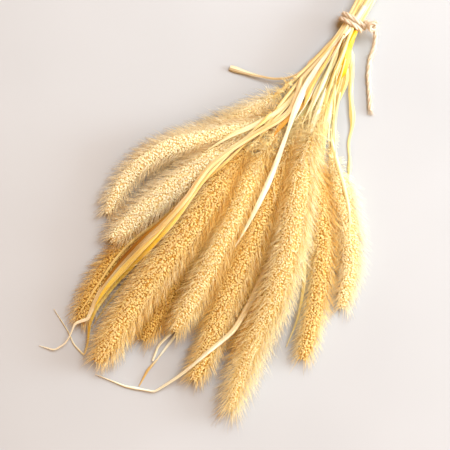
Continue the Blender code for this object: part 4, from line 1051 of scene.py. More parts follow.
# Strands: narrow strips of dry sheath that come out of the tie and lie over the stems, down to
# the first spikelets. Their heights are the lowest they may lie at; what is under them lifts them.
strands = {
    "seed": 940,
    "pitch": 1.5,
    "lift": 0.25,  # between a strip and what carries it
    "carried": 0.7,  # the share of its width that has to be carried
    "sag": (1, 2, 3, 4, 3, 2, 1),  # weights of the rows that its height is evened over
    "strips": [
        dict(tint="cream", fold=0.5, widths=((0, 1.2), (0.3, 2.4), (0.75, 1.8), (1, 0.4)), route=[
            (-3.2, -2.5, 11.8), (-7.5, -10.5, 11.6), (-10.8, -22.0, 11.6), (-14.5, -28.0, 12.0),
            (-20.0, -37.5, 12.6), (-21.8, -46.0, 13.2), (-23.5, -56.0, 14.2)]),
        dict(tint="straw", fold=0.7, widths=((0, 1.4), (0.4, 2.6), (0.8, 1.6), (1, 0.3)), route=[
            (-0.8, -3.5, 12.0), (-4.5, -13.0, 12.0), (-8.3, -23.0, 12.0), (-12.0, -31.5, 12.0),
            (-17.0, -42.5, 12.4), (-20.0, -53.0, 13.4)]),
        dict(tint="straw", widths=((0, 1.0), (0.4, 2.0), (1, 0.4)), route=[
            (-9.5, -25.0, 10.5), (-11.8, -32.0, 10.6), (-14.5, -42.5, 10.4), (-14.2, -54.0, 10.4),
            (-15.0, -66.0, 11.0)]),
        dict(tint="cream", fold=0.6, widths=((0, 1.0), (0.4, 2.3), (1, 0.3)), route=[
            (-8.5, -33.0, 9.6), (-10.2, -38.5, 9.2), (-12.0, -45.0, 8.8), (-12.5, -63.0, 9.0)]),
        dict(tint="cream", widths=((0, 1.0), (0.5, 1.8), (1, 0.3)), route=[
            (-6.9, -35.5, 8.0), (-9.3, -48.5, 7.6), (-9.2, -67.5, 8.4)]),
        dict(tint="golden", aged=((0, 1.0), (1, 0.2)), widths=((0, 1.0), (0.5, 1.3), (1, 0.3)), route=[
            (-5.0, -7.0, 10.8), (-14.5, -21.0, 11.2), (-20.0, -31.0, 11.6), (-24.5, -40.0, 12.6),
            (-28.0, -49.0, 13.8)]),
        dict(tint="cream", widths=((0, 0.8), (0.5, 1.7), (1, 0.3)), route=[
            (-12.0, -24.0, 11.6), (-18.0, -35.0, 12.4), (-22.5, -44.0, 13.4), (-26.5, -53.0, 14.6)]),
        dict(tint="cream", widths=((0, 0.8), (0.5, 2.2), (1, 0.3)), route=[
            (-5.5, -7.5, 9.0), (-10.0, -17.5, 9.0), (-14.0, -27.5, 9.5), (-18.5, -37.5, 10.0),
            (-22.5, -46.5, 10.5), (-26.0, -55.5, 11.5)]),
        dict(tint="straw", widths=((0, 0.8), (0.5, 1.7), (1, 0.3)), route=[
            (-5.5, -12.0, 9.0), (-10.0, -22.0, 9.0), (-13.5, -32.0, 9.5), (-17.0, -42.0, 10.0),
            (-21.0, -50.5, 10.5)]),
        dict(tint="golden", widths=((0, 0.6), (0.4, 1.9), (0.75, 2.6), (1, 0.4)), route=[
            (-10.0, -13.0, 9.0), (-14.0, -20.5, 9.0), (-18.3, -27.5, 9.5), (-22.3, -34.5, 10.0),
            (-25.8, -44.5, 11.0)]),
        dict(tint="cream", widths=((0, 0.6), (0.5, 1.1), (1, 0.3)), route=[
            (-4.5, -19.5, 8.0), (-8.0, -32.0, 8.0), (-11.5, -44.5, 7.5), (-13.0, -59.5, 8.5)]),
        dict(tint="straw", widths=((0, 0.6), (0.5, 1.3), (1, 0.3)), route=[
            (-8.8, -24.5, 8.0), (-9.8, -37.0, 6.5), (-10.2, -49.5, 6.5), (-10.5, -64.5, 7.5)]),
        # two thin dark brown strips: painted shade in the gap between the stems below the tie
        dict(tint="shadowBrown", aged=((0, 0.0), (1, 0.0)), widths=((0, 0.3), (0.5, 0.8), (1, 0.2)), route=[
            (-3.0, -4.0, 9.0), (-6.0, -11.0, 9.0), (-9.1, -21.0, 9.0), (-12.0, -28.0, 10.0)]),
        dict(tint="shadowBrown", aged=((0, 0.0), (1, 0.0)), widths=((0, 0.2), (0.5, 0.6), (1, 0.2)), route=[
            (-9.5, -21.5, 9.0), (-12.8, -31.0, 9.0), (-16.2, -40.0, 9.5)]),
        dict(tint="pale", widths=((0, 0.3), (0.5, 0.8), (1, 0.2)), route=[
            (-6.0, -9.0, 9.0), (-12.5, -20.0, 9.0), (-18.8, -31.5, 9.5), (-24.5, -42.5, 11.0),
            (-30.0, -50.5, 12.5)]),
        dict(tint="pale", widths=((0, 0.3), (0.5, 0.8), (1, 0.2)), route=[
            (-6.5, -22.5, 8.0), (-10.5, -34.0, 8.0), (-14.5, -46.5, 8.5), (-16.5, -58.5, 9.5)]),
        dict(tint="golden", widths=((0, 0.3), (0.5, 0.7), (1, 0.2)), route=[
            (-7.5, -28.0, 8.0), (-12.5, -39.5, 8.0), (-18.0, -50.5, 9.0), (-21.5, -59.5, 10.5)]),
        dict(tint="ochre", aged=((0, 0.3), (1, 0.1)),
             widths=((0, 0.4), (0.25, 2.2), (0.6, 3.0), (0.85, 2.0), (1, 0.3)), route=[
            (-93.0, -101.5, 20.0), (-98.8, -107.6, 18.4), (-104.5, -113.0, 15.2), (-109.6, -118.1, 11.2),
            (-114.9, -123.6, 7.8), (-120.3, -129.5, 5.6), (-125.5, -136.0, 4.8), (-130.0, -143.5, 4.4)]),
        dict(tint="straw", fold=0.6, widths=((0, 0.4), (0.4, 3.2), (0.8, 2.4), (1, 0.3)), route=[
            (-9.5, -32.0, 11.0), (-12.5, -43.0, 12.0), (-14.5, -53.0, 12.5), (-15.8, -62.0, 12.5)]),
        dict(tint="pale", fold=0.6, widths=((0, 0.4), (0.4, 3.0), (0.8, 2.2), (1, 0.3)), route=[
            (-14.5, -34.0, 11.0), (-18.4, -45.0, 12.0), (-21.4, -54.0, 12.5), (-24.0, -62.0, 12.5)]),
        # a dark brown strip: painted shade between two blades, where a leaf lies in shadow
        dict(tint="shadowBrown", aged=((0, 0.2), (1, 0.2)),
             widths=((0, 0.3), (0.25, 1.3), (0.6, 1.8), (0.85, 1.4), (1, 0.3)), route=[
            (-89.5, -94.0, 16.5), (-97.0, -101.0, 14.5), (-104.5, -107.6, 12.5), (-112.3, -115.4, 11.0),
            (-120.3, -124.6, 10.4), (-126.5, -133.0, 10.2)]),
    ],
    # the broken lower leaves of the bunch, which fill the fan from below and have aged most
    "lower": [
        dict(tint="straw", widths=((0, 1.4), (0.5, 5.2), (0.9, 7.0), (1, 4.0)), route=[
            (-11.0, -20.0, 7.0), (-18.0, -33.0, 8.0), (-25.0, -45.0, 9.2), (-30.5, -55.5, 9.8)]),
        dict(tint="straw", widths=((0, 1.4), (0.5, 4.8), (0.9, 7.0), (1, 3.0)), route=[
            (-8.0, -18.0, 6.4), (-14.0, -30.0, 7.0), (-19.0, -42.0, 8.6), (-23.5, -55.0, 9.6),
            (-26.5, -63.0, 9.8)]),
        dict(tint="golden", aged=((0, 0.6), (1, 0.1)), widths=((0, 1.6), (0.4, 4.6), (1, 0.5)), route=[
            (-3.5, -6.0, 6.0), (-10.0, -20.0, 6.4), (-17.0, -33.0, 7.0), (-24.0, -46.0, 7.6),
            (-31.0, -59.0, 8.4)]),
        dict(tint="straw", aged=((0, 0.2), (1, 0.0)), widths=((0, 1.6), (0.4, 5.0), (1, 0.5)), route=[
            (-3.0, -10.0, 5.4), (-9.0, -25.0, 5.0), (-14.0, -38.0, 5.4), (-19.0, -51.0, 6.0),
            (-23.0, -64.0, 7.0)]),
        dict(tint="straw", aged=((0, 0.2), (1, 0.0)), widths=((0, 1.4), (0.4, 4.8), (1, 0.5)), route=[
            (-2.0, -14.0, 5.0), (-7.0, -29.0, 4.4), (-11.0, -43.0, 4.2), (-14.0, -57.0, 4.6),
            (-15.5, -70.0, 5.4)]),
        dict(tint="golden", aged=((0, 0.9), (1, 0.5)), widths=((0, 1.4), (0.4, 4.2), (1, 0.5)), route=[
            (-9.0, -14.0, 6.0), (-18.0, -27.0, 6.6), (-28.0, -39.0, 8.0), (-38.0, -50.0, 9.0),
            (-46.0, -59.0, 9.6)]),
        dict(tint="amber", aged=((0, 0.4), (1, 0.9)), widths=((0, 1.2), (0.4, 3.4), (1, 0.5)), route=[
            (-14.0, -22.0, 6.0), (-25.0, -33.0, 6.6), (-37.0, -43.0, 7.6), (-49.0, -52.0, 8.6),
            (-58.0, -60.0, 9.0)]),
    ],
}


# lifts a strip on to whatever is under it, and lets it sag between
def layOver(line, half, places, radii):
    lowest = line[:, 2].copy()
    for i, point in enumerate(line):
        apart = np.linalg.norm(places[:, :2] - point[:2], axis=1)
        under = apart < radii + half[i] * strands["carried"]
        if under.any():
            lowest[i] = max(lowest[i], (places[under, 2] + radii[under]).max() + strands["lift"])
    reached = np.array([lowest[max(0, i - 2):i + 3].max() for i in range(len(lowest))])
    weights = np.array(strands["sag"])
    padded = np.pad(reached, len(weights) // 2, mode="edge")
    line[:, 2] = np.convolve(padded, weights / weights.sum(), mode="valid")


def buildStrands():
    rng = np.random.default_rng(strands["seed"])
    for i, strip in enumerate(strands["lower"]):
        buildBlade(f"lowerLeaf_{i + 1:02d}", smoothLine(strip["route"], strands["pitch"]), 0.0, strip, rng)
    places, radii = strawAndLeafBalls()
    for i, strip in enumerate(strands["strips"]):
        line = smoothLine(strip["route"], strands["pitch"])
        layOver(line, leafWidths(strip, np.linspace(0, 1, len(line))), places, radii)
        buildBlade(f"strand_{i + 1:02d}", line, 0.0, strip, rng)
        places = np.concatenate([places, line])
        radii = np.concatenate([radii, np.full(len(line), balls["strand"])])


buildStrands()
print("strands laid")


# Seed heads: a bed of husks packed with plump spikelets, and bristles that stand out among them.
# Each head's core is the radius of its seed body, and stretch how long its bristles are along it.
heads = {
    "seed": 340,
    "bedPitch": 1.5,
    "bedSides": 18,
    "bedDepth": 1.05,  # below the spikelets' crowns
    "crown": 1.3,  # from the seed body to the spikelets' crowns
    "swell": (0.17, 0.65),  # share of its length in which the body swells, and how roundly
    "taper": (0.4, 2.4),  # how much thinner it gets towards the tip, and how late
    "tip": (0.9, 0.115),  # where the rounding of the tip starts, and its length
    "slimmest": 1.5,  # the body's radius at the neck
    "slim": ((0, 1), (0.6, 1), (1, 0.9)),
    "room": (0.15, 0.2),  # kept clear of a neighbour and the surface, and of a stem or leaf
    "nearHeads": 26,  # further ones are out of reach
    "nearThings": 17,
    "spikeletsPerMm2": 0.80,
    "underneath": 0.32,  # share of them kept on the side that faces the surface, where they are larger
    "underLarger": 1.3,
    "facesDown": -0.35,  # how far down a way out points where the head faces the surface
    "scatter": (0.2, 0.07),  # of a spikelet from its place on the spiral, in rows and radians
    "spikeletLength": 1.42,
    "spikeletWidth": 1.22,
    "spikeletFlat": 0.9,  # its other width, as a share
    "spikeletSize": (0.82, 1.14),
    "spikeletTurn": 0.25,
    "spikeletTip": (50, 0.93, 0.07),  # those at the tip point on past it: degrees, place and run
    "spikeletLean": (16.0, 12.0),  # degrees towards the tip, and their scatter
    "spikeletSink": 0.93,  # how much of one stands below the crown
    "spikeletSizes": ((0, 0.85), (0.12, 1), (0.85, 1), (1, 0.8)),
    "clumpsPerMm2": 0.075,  # spikelets grow in small clumps, a few millimetres across
    "clumpHeight": 0.55,
    "clumpSpread": 1.35,
    "clumpLean": 0.28,
    "bristles": {"under": 0.4, "side": 1.9, "above": 0.5, "neck": 2.6},  # for each spikelet
    "neckEnds": 0.09,  # share of the head's length
    "flank": 0.7,  # how far up its side a head has many bristles, as a share of its radius
    "bristleLength": (6.2, 10.6),
    "bristleLean": (34.0, 13.0),  # degrees towards the tip, and their scatter
    "bristleAside": 0.26,
    "bristleTip": (26, 0.9, 0.1),  # degrees, place and run, as above
    "bristleNeck": (26, 0.07),  # those at the neck stand back
    "bristleNeckScatter": (12, 0.1),
    "bristleBow": 0.34,  # how far each one bends on towards the tip, as a share of its length
    "bristleSag": 0.05,
    "bristleRadii": (0.105, 0.045),  # a little over the real ones, so that each one shows
    "stretch": ((0, 0.9), (0.9, 0.9), (1, 0.75)),
    "tries": (0.2, 0.35, 0.5, 0.65, 0.8, 0.9, 1.0),  # shares of its length that a bristle may have
    "shortest": 1.4,
    "clear": 0.25,
    "overlap": 1.0,  # how far bristles may reach into a neighbour's own
    "neighbourShade": ((1.5, 0), (9.0, 1)),  # how far out of the painted shade of its neighbours a spikelet or bristle is, at a distance from them: near them it is drawn deeper gold
    "looseRun": 16.0,  # length of stem below the head with only a few spikelets on it
    "looseLean": (44, 8),
    "looseSize": (0.7, 0.95),
    "loose": (60, 0.7),  # how many spikelets there, and how long their bristles are
    "looseBristles": 3.5,
    "stalks": {
        1: dict(core=4.0, tint="bleached", line=[
            (-41, -38.5, 8.5), (-59, -50, 6), (-70, -54.5, 5), (-82, -59.5, 4.2), (-107, -69.5, 4)]),
        2: dict(core=3.9, tint="bleached", line=[
            (-46, -49.5, 12), (-60, -55.5, 13), (-75, -59, 13), (-90, -62.5, 12.3),
            (-102, -68.5, 9.5), (-114.5, -79.5, 6), (-123.5, -95.5, 4)]),
        3: dict(core=5.9, tint="bleached", line=[
            (-57, -59.5, 13), (-64.5, -64.5, 13), (-77, -73.5, 12), (-97, -88, 9.5),
            (-114.5, -103.5, 7), (-121, -110, 6)]),
        4: dict(core=4.25, tint="amber", line=[
            (-82, -89.5, 4.2), (-102, -107, 4.2), (-117, -117, 4.2), (-130.5, -135.5, 4.2),
            (-137.5, -150.5, 4)]),
        5: dict(core=6.7, tint="golden", stretch=((0, 0.9), (0.3, 1.0), (0.9, 1.0), (1, 0.8)), line=[
            (-53.5, -65.5, 14.5), (-59.5, -72, 15), (-69.5, -87, 15.5), (-82, -103.5, 15),
            (-99.5, -127, 12), (-116, -150.5, 9), (-128.5, -170.5, 6)]),
        6: dict(core=5.4, tint="honey", loose=(150, 0.75),
                stretch=((0, 1.1), (0.12, 0.95), (1, 0.85)), line=[
            (-44.5, -64.5, 14), (-49.5, -74.5, 15), (-61, -99.5, 15.5), (-71, -120.5, 14),
            (-83, -143.5, 11), (-89.5, -154.5, 9)]),
        7: dict(core=6.0, tint="golden", loose=(180, 0.8), stretch=((0, 1.15), (0.12, 1.0), (1, 0.8)), line=[
            (-32, -62, 12), (-37, -72, 12), (-47, -97, 12), (-57, -122, 10.5), (-66, -144.5, 8.5),
            (-75.5, -169.5, 6.5), (-80.5, -179.5, 5.5)]),
        8: dict(core=5.6, tint="honey", loose=(200, 0.8), slim=((0, 1), (0.55, 1), (1, 0.72)),
                stretch=((0, 1.2), (0.15, 1.0), (0.4, 1.0), (0.7, 1.25), (1, 1.1)), line=[
            (-21, -57, 12.5), (-23.5, -64.5, 13.5), (-28.5, -89.5, 14.5), (-33, -114.5, 14),
            (-40.5, -139.5, 11.5), (-50, -159.5, 8.5), (-58, -182, 6), (-62, -195, 5)]),
        9: dict(core=4.5, tint="golden", loose=(160, 0.75), stretch=((0, 0.9), (0.2, 0.95), (1, 0.8)), line=[
            (-19.5, -69.5, 7), (-16.5, -94.5, 5.2), (-15.5, -117, 4.5), (-18.5, -139.5, 4.5),
            (-25.5, -169.5, 4.2)]),
        10: dict(core=4.0, tint="creamy", loose=(60, 0.4), stretch=((0, 0.55), (0.2, 0.95), (1, 0.8)), line=[
            (-10.5, -69.5, 6), (-5.5, -89.5, 4.4), (-2, -107, 4), (-2, -127, 4), (-6, -143.5, 4)]),
        11: dict(core=5.0, tint="amber", line=[
            (-61, -74.5, 5), (-74.5, -103.5, 4.7), (-87, -127, 4.7), (-99.5, -149.5, 4.7),
            (-105.5, -159.5, 4.4)]),
        12: dict(core=4.6, tint="golden", line=[
            (-35.5, -77, 5), (-40, -102, 4.4), (-44.5, -127, 4.4), (-53, -152, 4.4),
            (-59, -164.5, 4.2)]),
    },
}


def headProfile(core, share):
    swellEnds, swellRound = heads["swell"]
    taper, late = heads["taper"]
    tipFrom, tipRun = heads["tip"]
    swell = np.clip(share / swellEnds, 0, 1) ** swellRound
    roundTip = np.sqrt(np.clip(1 - (np.clip(share - tipFrom, 0, 1) / tipRun) ** 2, 0, 1))
    body = core * swell * (1 - taper * share**late) * roundTip
    return np.maximum(body, heads["slimmest"] * (share < 0.5))


# distance from each point to the nearest of many balls, worked out a few thousand at a time
def nearestBall(points, places, radii):
    if not len(places):
        return np.full(len(points), 1e3)
    found = []
    for chunk in np.array_split(points, len(points) // 3000 + 1):
        squared = (
            (chunk**2).sum(axis=1)[:, None] + (places**2).sum(axis=1)[None] - 2 * chunk @ places.T)
        found.append((np.sqrt(np.maximum(squared, 0)) - radii[None]).min(axis=1))
    return np.concatenate(found)


def onlyNear(line, places, radii, margin):
    near = np.linalg.norm(places[:, None] - line[None, ::3], axis=2).min(axis=1) < margin
    return places[near], radii[near]


# the last of some steps before the first that isn't clear, or instead of it where none is
def lastClear(steps, clear, instead):
    first = np.where(clear.all(axis=-1), len(steps), clear.argmin(axis=-1))
    return np.where(first == 0, instead, steps[np.clip(first - 1, 0, None)])


# how far a head may swell each way before it meets a neighbour, a stem, a leaf or the surface
def roomAround(line, core, rivals, things):
    _, left, up = levelFrames(line)
    ways = waysOut(left, up, roundAngles(heads["bedSides"]))
    steps = np.linspace(0.15, 1.0, 22)
    wanted = core + heads["crown"]
    far = wanted[:, None, None] * steps
    points = line[:, None, None] + ways[:, :, None] * far[..., None]
    beyond = np.broadcast_to(far - core[:, None, None], points.shape[:3])
    flat = points.reshape(-1, 3)
    toHeads, toThings = heads["room"]
    clear = nearestBall(flat, *rivals) - beyond.ravel() > toHeads
    clear &= nearestBall(flat, *things) > toThings
    clear &= flat[:, 2] > toHeads
    return lastClear(steps, clear.reshape(points.shape[:3]), steps[0]) * wanted[:, None]


# rows and angles to places on the limit grid, read between its points
def readLimit(limit, rowAt, angle):
    sides = limit.shape[1]
    row = np.clip(rowAt.astype(int), 0, len(limit) - 2)
    pastRow = rowAt - row
    turned = (angle / (2 * math.pi) * sides) % sides
    column = turned.astype(int) % sides
    beside = (column + 1) % sides
    pastColumn = turned - np.floor(turned)
    low = limit[row, column] * (1 - pastColumn) + limit[row, beside] * pastColumn
    high = limit[row + 1, column] * (1 - pastColumn) + limit[row + 1, beside] * pastColumn
    return low * (1 - pastRow) + high * pastRow


def pick(rows, rowAt):
    row = np.clip(rowAt.astype(int), 0, len(rows) - 2)
    past = rowAt - row
    if rows.ndim == 2:
        past = past[:, None]
    return rows[row] * (1 - past) + rows[row + 1] * past


# foot, belly, shoulder and top, for a spikelet of width and height 1
def spikeletShape(sides):
    angles = roundAngles(sides)
    circle = np.stack([np.cos(angles), np.sin(angles), np.zeros(sides)], axis=1)
    belly = circle * 0.5 + (0, 0, 0.36)
    half = math.pi / sides
    twist = np.array([[math.cos(half), math.sin(half), 0], [-math.sin(half), math.cos(half), 0], [0, 0, 1]])
    shoulder = (circle * 0.36 + (0, 0, 0.80)) @ twist
    points = np.concatenate([[(0, 0, -0.2)], belly, shoulder, [(0, 0, 1.0)]])
    faces = []
    for i in range(sides):
        j = (i + 1) % sides
        a, b, c, d = 1 + i, 1 + j, 1 + sides + i, 1 + sides + j
        faces += [[0, b, a], [a, b, c], [b, d, c], [c, d, 2 * sides + 1]]
    heights = np.array([0.0] + [0.4] * sides + [0.85] * sides + [1.0])
    return points, faces, heights


def addSpikelets(bag, root, axis, ahead, size, open, sides, rng, finish=1):
    wide = (heads["spikeletWidth"] * size)[:, None, None]
    tall = (heads["spikeletLength"] * size)[:, None, None]
    a = unit(np.cross(ahead, axis))
    b = np.cross(axis, a)
    shape, faces, heights = spikeletShape(sides)
    points = (
        root[:, None]
        + a[:, None] * (shape[None, :, 0:1] * wide)
        + b[:, None] * (shape[None, :, 1:2] * wide * heads["spikeletFlat"])
        + axis[:, None] * (shape[None, :, 2:3] * tall)
    )
    keepAbove(points, 0.05)
    # tone: half at random, half the painted shade of the neighbouring heads
    addTo(
        bag, points, repeated(faces, len(root), len(shape)), finish, reach=np.tile(heights, len(root)),
        tone=np.repeat(0.5 * rng.uniform(0, 1, len(root)) + 0.5 * open, len(shape)))


# the rows of a spiral up the head that has the same number of places on each mm2 of its body
def spiralRows(line, core, perMm2):
    middle = core + 0.6  # half way up the spikelets
    area = np.cumsum(2 * math.pi * middle * heads["bedPitch"])
    count = int(area[-1] * perMm2)
    return np.interp((np.arange(count) + 0.5) / count * area[-1], area, np.arange(len(line)))


# where each spikelet grows: on a spiral, so that they are evenly spread all round the head
def spikeletPlaces(line, core, limit, slim, rng):
    rowAt = spiralRows(line, core, heads["spikeletsPerMm2"])
    count = len(rowAt)
    rowScatter, angleScatter = heads["scatter"]
    rowAt = np.clip(rowAt + rng.normal(0, rowScatter, count), 0, len(line) - 1.001)
    angle = (np.arange(count) * goldenAngle + rng.normal(0, angleScatter, count)) % (2 * math.pi)
    ahead, left, up = (pick(rows, rowAt) for rows in levelFrames(line))
    out = unit(wayOut(left, up, angle))
    share = rowAt / (len(line) - 1)
    crown = np.minimum(pick(core, rowAt) + heads["crown"], readLimit(limit, rowAt, angle))
    crown *= readOff(slim, share)
    fromClump, lift = clumps(line, core, pick(line, rowAt) + out * crown[:, None])
    crown = np.maximum(crown - lift, 0.8)
    mean, scatter = heads["spikeletLean"]
    tipLean, tipFrom, tipRun = heads["spikeletTip"]
    lean = mean + tipLean * np.clip((share - tipFrom) / tipRun, 0, 1)
    lean = np.radians(lean + rng.normal(0, scatter, count))[:, None]
    turn = np.cross(ahead, out) * rng.normal(0, heads["spikeletTurn"], count)[:, None]
    turn += fromClump * heads["clumpLean"]
    axis = unit(out * np.cos(lean) + ahead * np.sin(lean) + turn)
    size = rng.uniform(*heads["spikeletSize"], count) * readOff(heads["spikeletSizes"], share)
    under = facesDown(out)
    size[under] *= heads["underLarger"]
    kept = ~under | (rng.uniform(0, 1, count) < heads["underneath"])
    sunk = heads["spikeletLength"] * size * heads["spikeletSink"]
    root = pick(line, rowAt) + out * np.maximum(crown - sunk, 0.2)[:, None]
    return [values[kept] for values in (root, out, axis, ahead, share, size)]


def facesDown(out):
    return out[:, 2] < heads["facesDown"]


# which way each spikelet lies from the middle of its clump, and how far below the clump's crown
def clumps(line, core, points):
    rowAt = np.clip(spiralRows(line, core, heads["clumpsPerMm2"]), 0, len(line) - 1.001)
    _, left, up = (pick(rows, rowAt) for rows in levelFrames(line))
    out = wayOut(left, up, np.arange(len(rowAt)) * goldenAngle)
    middles = pick(line, rowAt) + out * (pick(core, rowAt)[:, None] + heads["crown"])
    apart = np.linalg.norm(points[:, None] - middles[None], axis=2)
    nearest = apart.argmin(axis=1)
    reach = heads["clumpSpread"] / math.sqrt(heads["clumpsPerMm2"] * math.pi)
    share = np.clip(apart[np.arange(len(points)), nearest] / reach, 0, 1)
    return (points - middles[nearest]) / reach, heads["clumpHeight"] * share**2


def addBristles(bag, root, out, ahead, share, each, stretch, rivals, things, rng, finish=2):
    each = np.floor(each + rng.uniform(0, 1, len(root))).astype(int)
    root, out, ahead, share = (np.repeat(values, each, axis=0) for values in (root, out, ahead, share))
    count = len(root)
    mean, scatter = heads["bristleLean"]
    more, moreRun = heads["bristleNeckScatter"]
    scatter = scatter + more * np.clip(1 - share / moreRun, 0, 1)
    tipLean, tipFrom, tipRun = heads["bristleTip"]
    lean = mean + rng.normal(0, 1, count) * scatter + tipLean * np.clip((share - tipFrom) / tipRun, 0, 1)
    neckLean, neckRun = heads["bristleNeck"]
    lean = np.radians(lean - neckLean * np.clip(1 - share / neckRun, 0, 1))[:, None]
    aside = np.cross(ahead, out)
    toSide = aside * rng.normal(0, heads["bristleAside"], count)[:, None]
    way = unit(out * np.cos(lean) + ahead * np.sin(lean) + toSide)
    root = root + aside * rng.normal(0, 0.3, count)[:, None] + ahead * rng.normal(-0.2, 0.3, count)[:, None]
    bow = ahead * heads["bristleBow"] + rng.normal(0, 0.07, root.shape) - upward * heads["bristleSag"]
    tall = rng.uniform(*heads["bristleLength"], count) * readOff(stretch, share)

    def along(steps):
        return root[:, None] + (way[:, None] * steps + bow[:, None] * steps**2) * tall[:, None, None]

    # each one is as long as it can be before it meets a neighbour
    tries = np.array(heads["tries"])
    flat = along(tries[None, :, None]).reshape(-1, 3)
    apart = nearestBall(flat, *rivals)
    clear = apart > heads["clear"] - heads["overlap"]
    clear &= nearestBall(flat, *things) > heads["clear"]
    # bristles near a neighbour are drawn deeper gold, a painted shade between the heads; those at the neck
    # are drawn paler, a painted light where the stems shade it
    open = readOff(heads["neighbourShade"], apart.reshape(count, -1).mean(axis=1))
    open = np.maximum(open, 0.5 * (1 - share / 0.06))
    cut = lastClear(tries, clear.reshape(count, -1), 0.1)
    long = tall * cut > heads["shortest"]
    # those at the sides are seen from their whole length, and get one more joint
    beside = np.abs(out[:, 2]) < 0.3
    for which, steps in ((long & beside, (0, 0.32, 0.66, 1)), (long & ~beside, (0, 0.5, 1))):
        path = along((cut[:, None] * np.array(steps))[..., None])[which]
        keepAbove(path, 0.14)
        addHairs(
            bag, path, *heads["bristleRadii"], finish,
            tone=0.3 * rng.uniform(0, 1, len(path)) + 0.7 * open[which])


# the few spikelets that sit apart on the stem below the head
def addLooseSpikelets(bag, number, count, rng):
    stem = stemLines[number]
    at = heads["looseRun"] * rng.uniform(0, 1, count) ** 1.5
    middle = pointsAt(at, reachAlong(stem), stem)
    ahead = np.repeat(unit(stem[:1] - stem[2:3]), count, axis=0)
    left = unit(np.cross(upward, ahead))
    out = wayOut(left, np.cross(ahead, left), np.arange(count) * goldenAngle)
    lean = np.radians(rng.normal(*heads["looseLean"], count))[:, None]
    axis = unit(out * np.cos(lean) + ahead * np.sin(lean))
    size = rng.uniform(*heads["looseSize"], count)
    root = middle + out * 0.7
    addSpikelets(bag, root, axis, ahead, size, 1.0, 5, rng, 3)
    return root, out, ahead


def buildHead(number, stalk, lines):
    rng = np.random.default_rng(heads["seed"] + number)
    line, core = lines[number]
    others = [lines[n] for n in lines if n != number]
    rivals = onlyNear(line, *map(np.concatenate, zip(*others)), heads["nearHeads"])
    things = onlyNear(line, *strawAndLeafBalls(number), heads["nearThings"])
    limit = roomAround(line, core, rivals, things)
    slim = stalk.get("slim", heads["slim"])
    bag = newBag("reach", "tone")
    sides = heads["bedSides"]
    _, left, up = levelFrames(line)
    crown = np.minimum(core[:, None] + heads["crown"], limit)
    crown *= readOff(slim, np.linspace(0, 1, len(line)))[:, None]
    bed = np.maximum(crown - heads["bedDepth"], 0.35)
    addTo(bag, rings(line, bed, sides, left, up), ringFaces(len(line), sides))
    root, out, axis, ahead, share, size = spikeletPlaces(line, core, limit, slim, rng)
    # spikelets near a neighbour are drawn deeper gold: painted shade between the heads
    open = readOff(heads["neighbourShade"], nearestBall(root + 2 * out, *rivals))
    low = out[:, 2] < 0.3  # seen less, so that fewer sides will do
    for which, sides in ((low, 4), (~low, 5)):
        addSpikelets(bag, root[which], axis[which], ahead[which], size[which], open[which], sides, rng)
    many = heads["bristles"]
    each = np.where(out[:, 2] < heads["flank"], many["side"], many["above"])
    each = np.where(share < heads["neckEnds"], many["neck"], each)
    each = np.where(facesDown(out), many["under"], each)
    stretch = stalk.get("stretch", heads["stretch"])
    addBristles(bag, root, out, ahead, share, each, stretch, rivals, things, rng)
    count, long = stalk.get("loose", heads["loose"])
    root, out, ahead = addLooseSpikelets(bag, number, count, rng)
    addBristles(
        bag, root, out, ahead, np.full(count, 0.01), heads["looseBristles"], ((0, long), (1, long)),
        rivals, things, rng, 4)
    tint = stalk["tint"]
    finishes = [beds[tint], husks[tint], bristles[tint], husks["neck"], bristles["neck"]]
    makePiece(f"foxtail_{number:02d}", bag, finishes, f"seed_head_{number:02d}")


headLines = {}
for number, stalk in heads["stalks"].items():
    line = smoothLine(stalk["line"], heads["bedPitch"])
    headLines[number] = (line, headProfile(stalk["core"], np.linspace(0, 1, len(line))))
for number, stalk in heads["stalks"].items():
    buildHead(number, stalk, headLines)
triangles = sum(len(p.vertices) - 2 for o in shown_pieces() for p in o.data.polygons)
print("seed heads made,", triangles, "triangles in all")


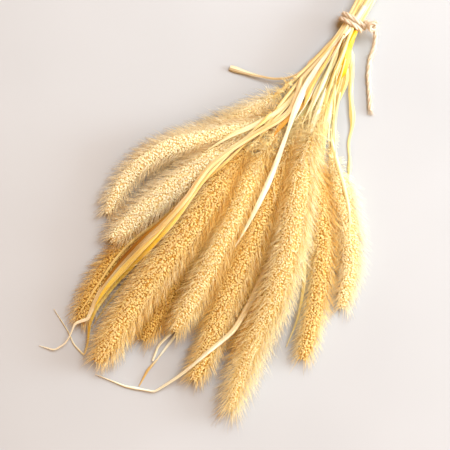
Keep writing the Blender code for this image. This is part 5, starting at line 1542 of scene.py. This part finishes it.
# Floor and light: a pale painted board, large soft lights from the right and a little from all round.
studio = {
    "floor": ("#AFB0B0", "#B5B6B6"),
    "floorSize": 6.0,  # metres, as all lengths here
    "sky": "#FFB555",  # a little warm fill, as pale walls throw back
    "skyStrength": 0.68,
    "lamp": "#E1F0FC",
    # how far to the right of the bunch, up the picture and above the surface; then size and watts
    "lamps": {
        "softbox": ((0.42, 0.50, 1.18), 0.74, 26.3),
        "window": ((1.50, 0.20, 0.84), 0.85, 13.0),
        "lowWindow": ((1.45, 0.05, 0.40), 0.60, 29.0),
    },
}

# Painted board: flat white paint, rolled on. Matt, with the faintest clouding.
boardFinish = {"roughness": 0.9, "ior": 1.5, "patches": 1000 / 9, "detail": 2.0, "shades": (0.3, 0.7)}


def makeStudio():
    half = studio["floorSize"] / 2
    mesh = bpy.data.meshes.new("floor")
    corners = [(-half, -half, 0), (half, -half, 0), (half, half, 0), (-half, half, 0)]
    mesh.from_pydata(corners, [], [(0, 1, 2, 3)])
    mesh.materials.append(makePatchyFinish("paintedBoard", boardFinish, studio["floor"]))
    floor = putInScene("floor", mesh)
    floor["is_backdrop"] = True
    world = bpy.data.worlds.new("sky")
    world.use_nodes = True
    back = world.node_tree.nodes["Background"]
    back.inputs["Color"].default_value = toLinear(studio["sky"])
    back.inputs["Strength"].default_value = studio["skyStrength"]
    bpy.context.scene.world = world
    middle = toFrame([view["middle"]])[0]
    right = np.array([math.cos(leanAngle), math.sin(leanAngle), 0])
    higher = np.array([-math.sin(leanAngle), math.cos(leanAngle), 0])
    for name, ((toRight, toTop, height), size, watts) in studio["lamps"].items():
        data = bpy.data.lights.new(name, "AREA")
        data.shape = "SQUARE"
        data.size = size
        data.energy = watts
        data.color = toLinear(studio["lamp"])[:3]
        light = putInScene(name, data)
        offset = right * toRight + higher * toTop + upward * height
        light.location = middle + offset
        light.rotation_euler = Vector(offset).to_track_quat("Z", "Y").to_euler()
    settings = bpy.context.scene.view_settings
    settings.view_transform = "Standard"
    settings.look = "None"


makeStudio()
print("studio lit")
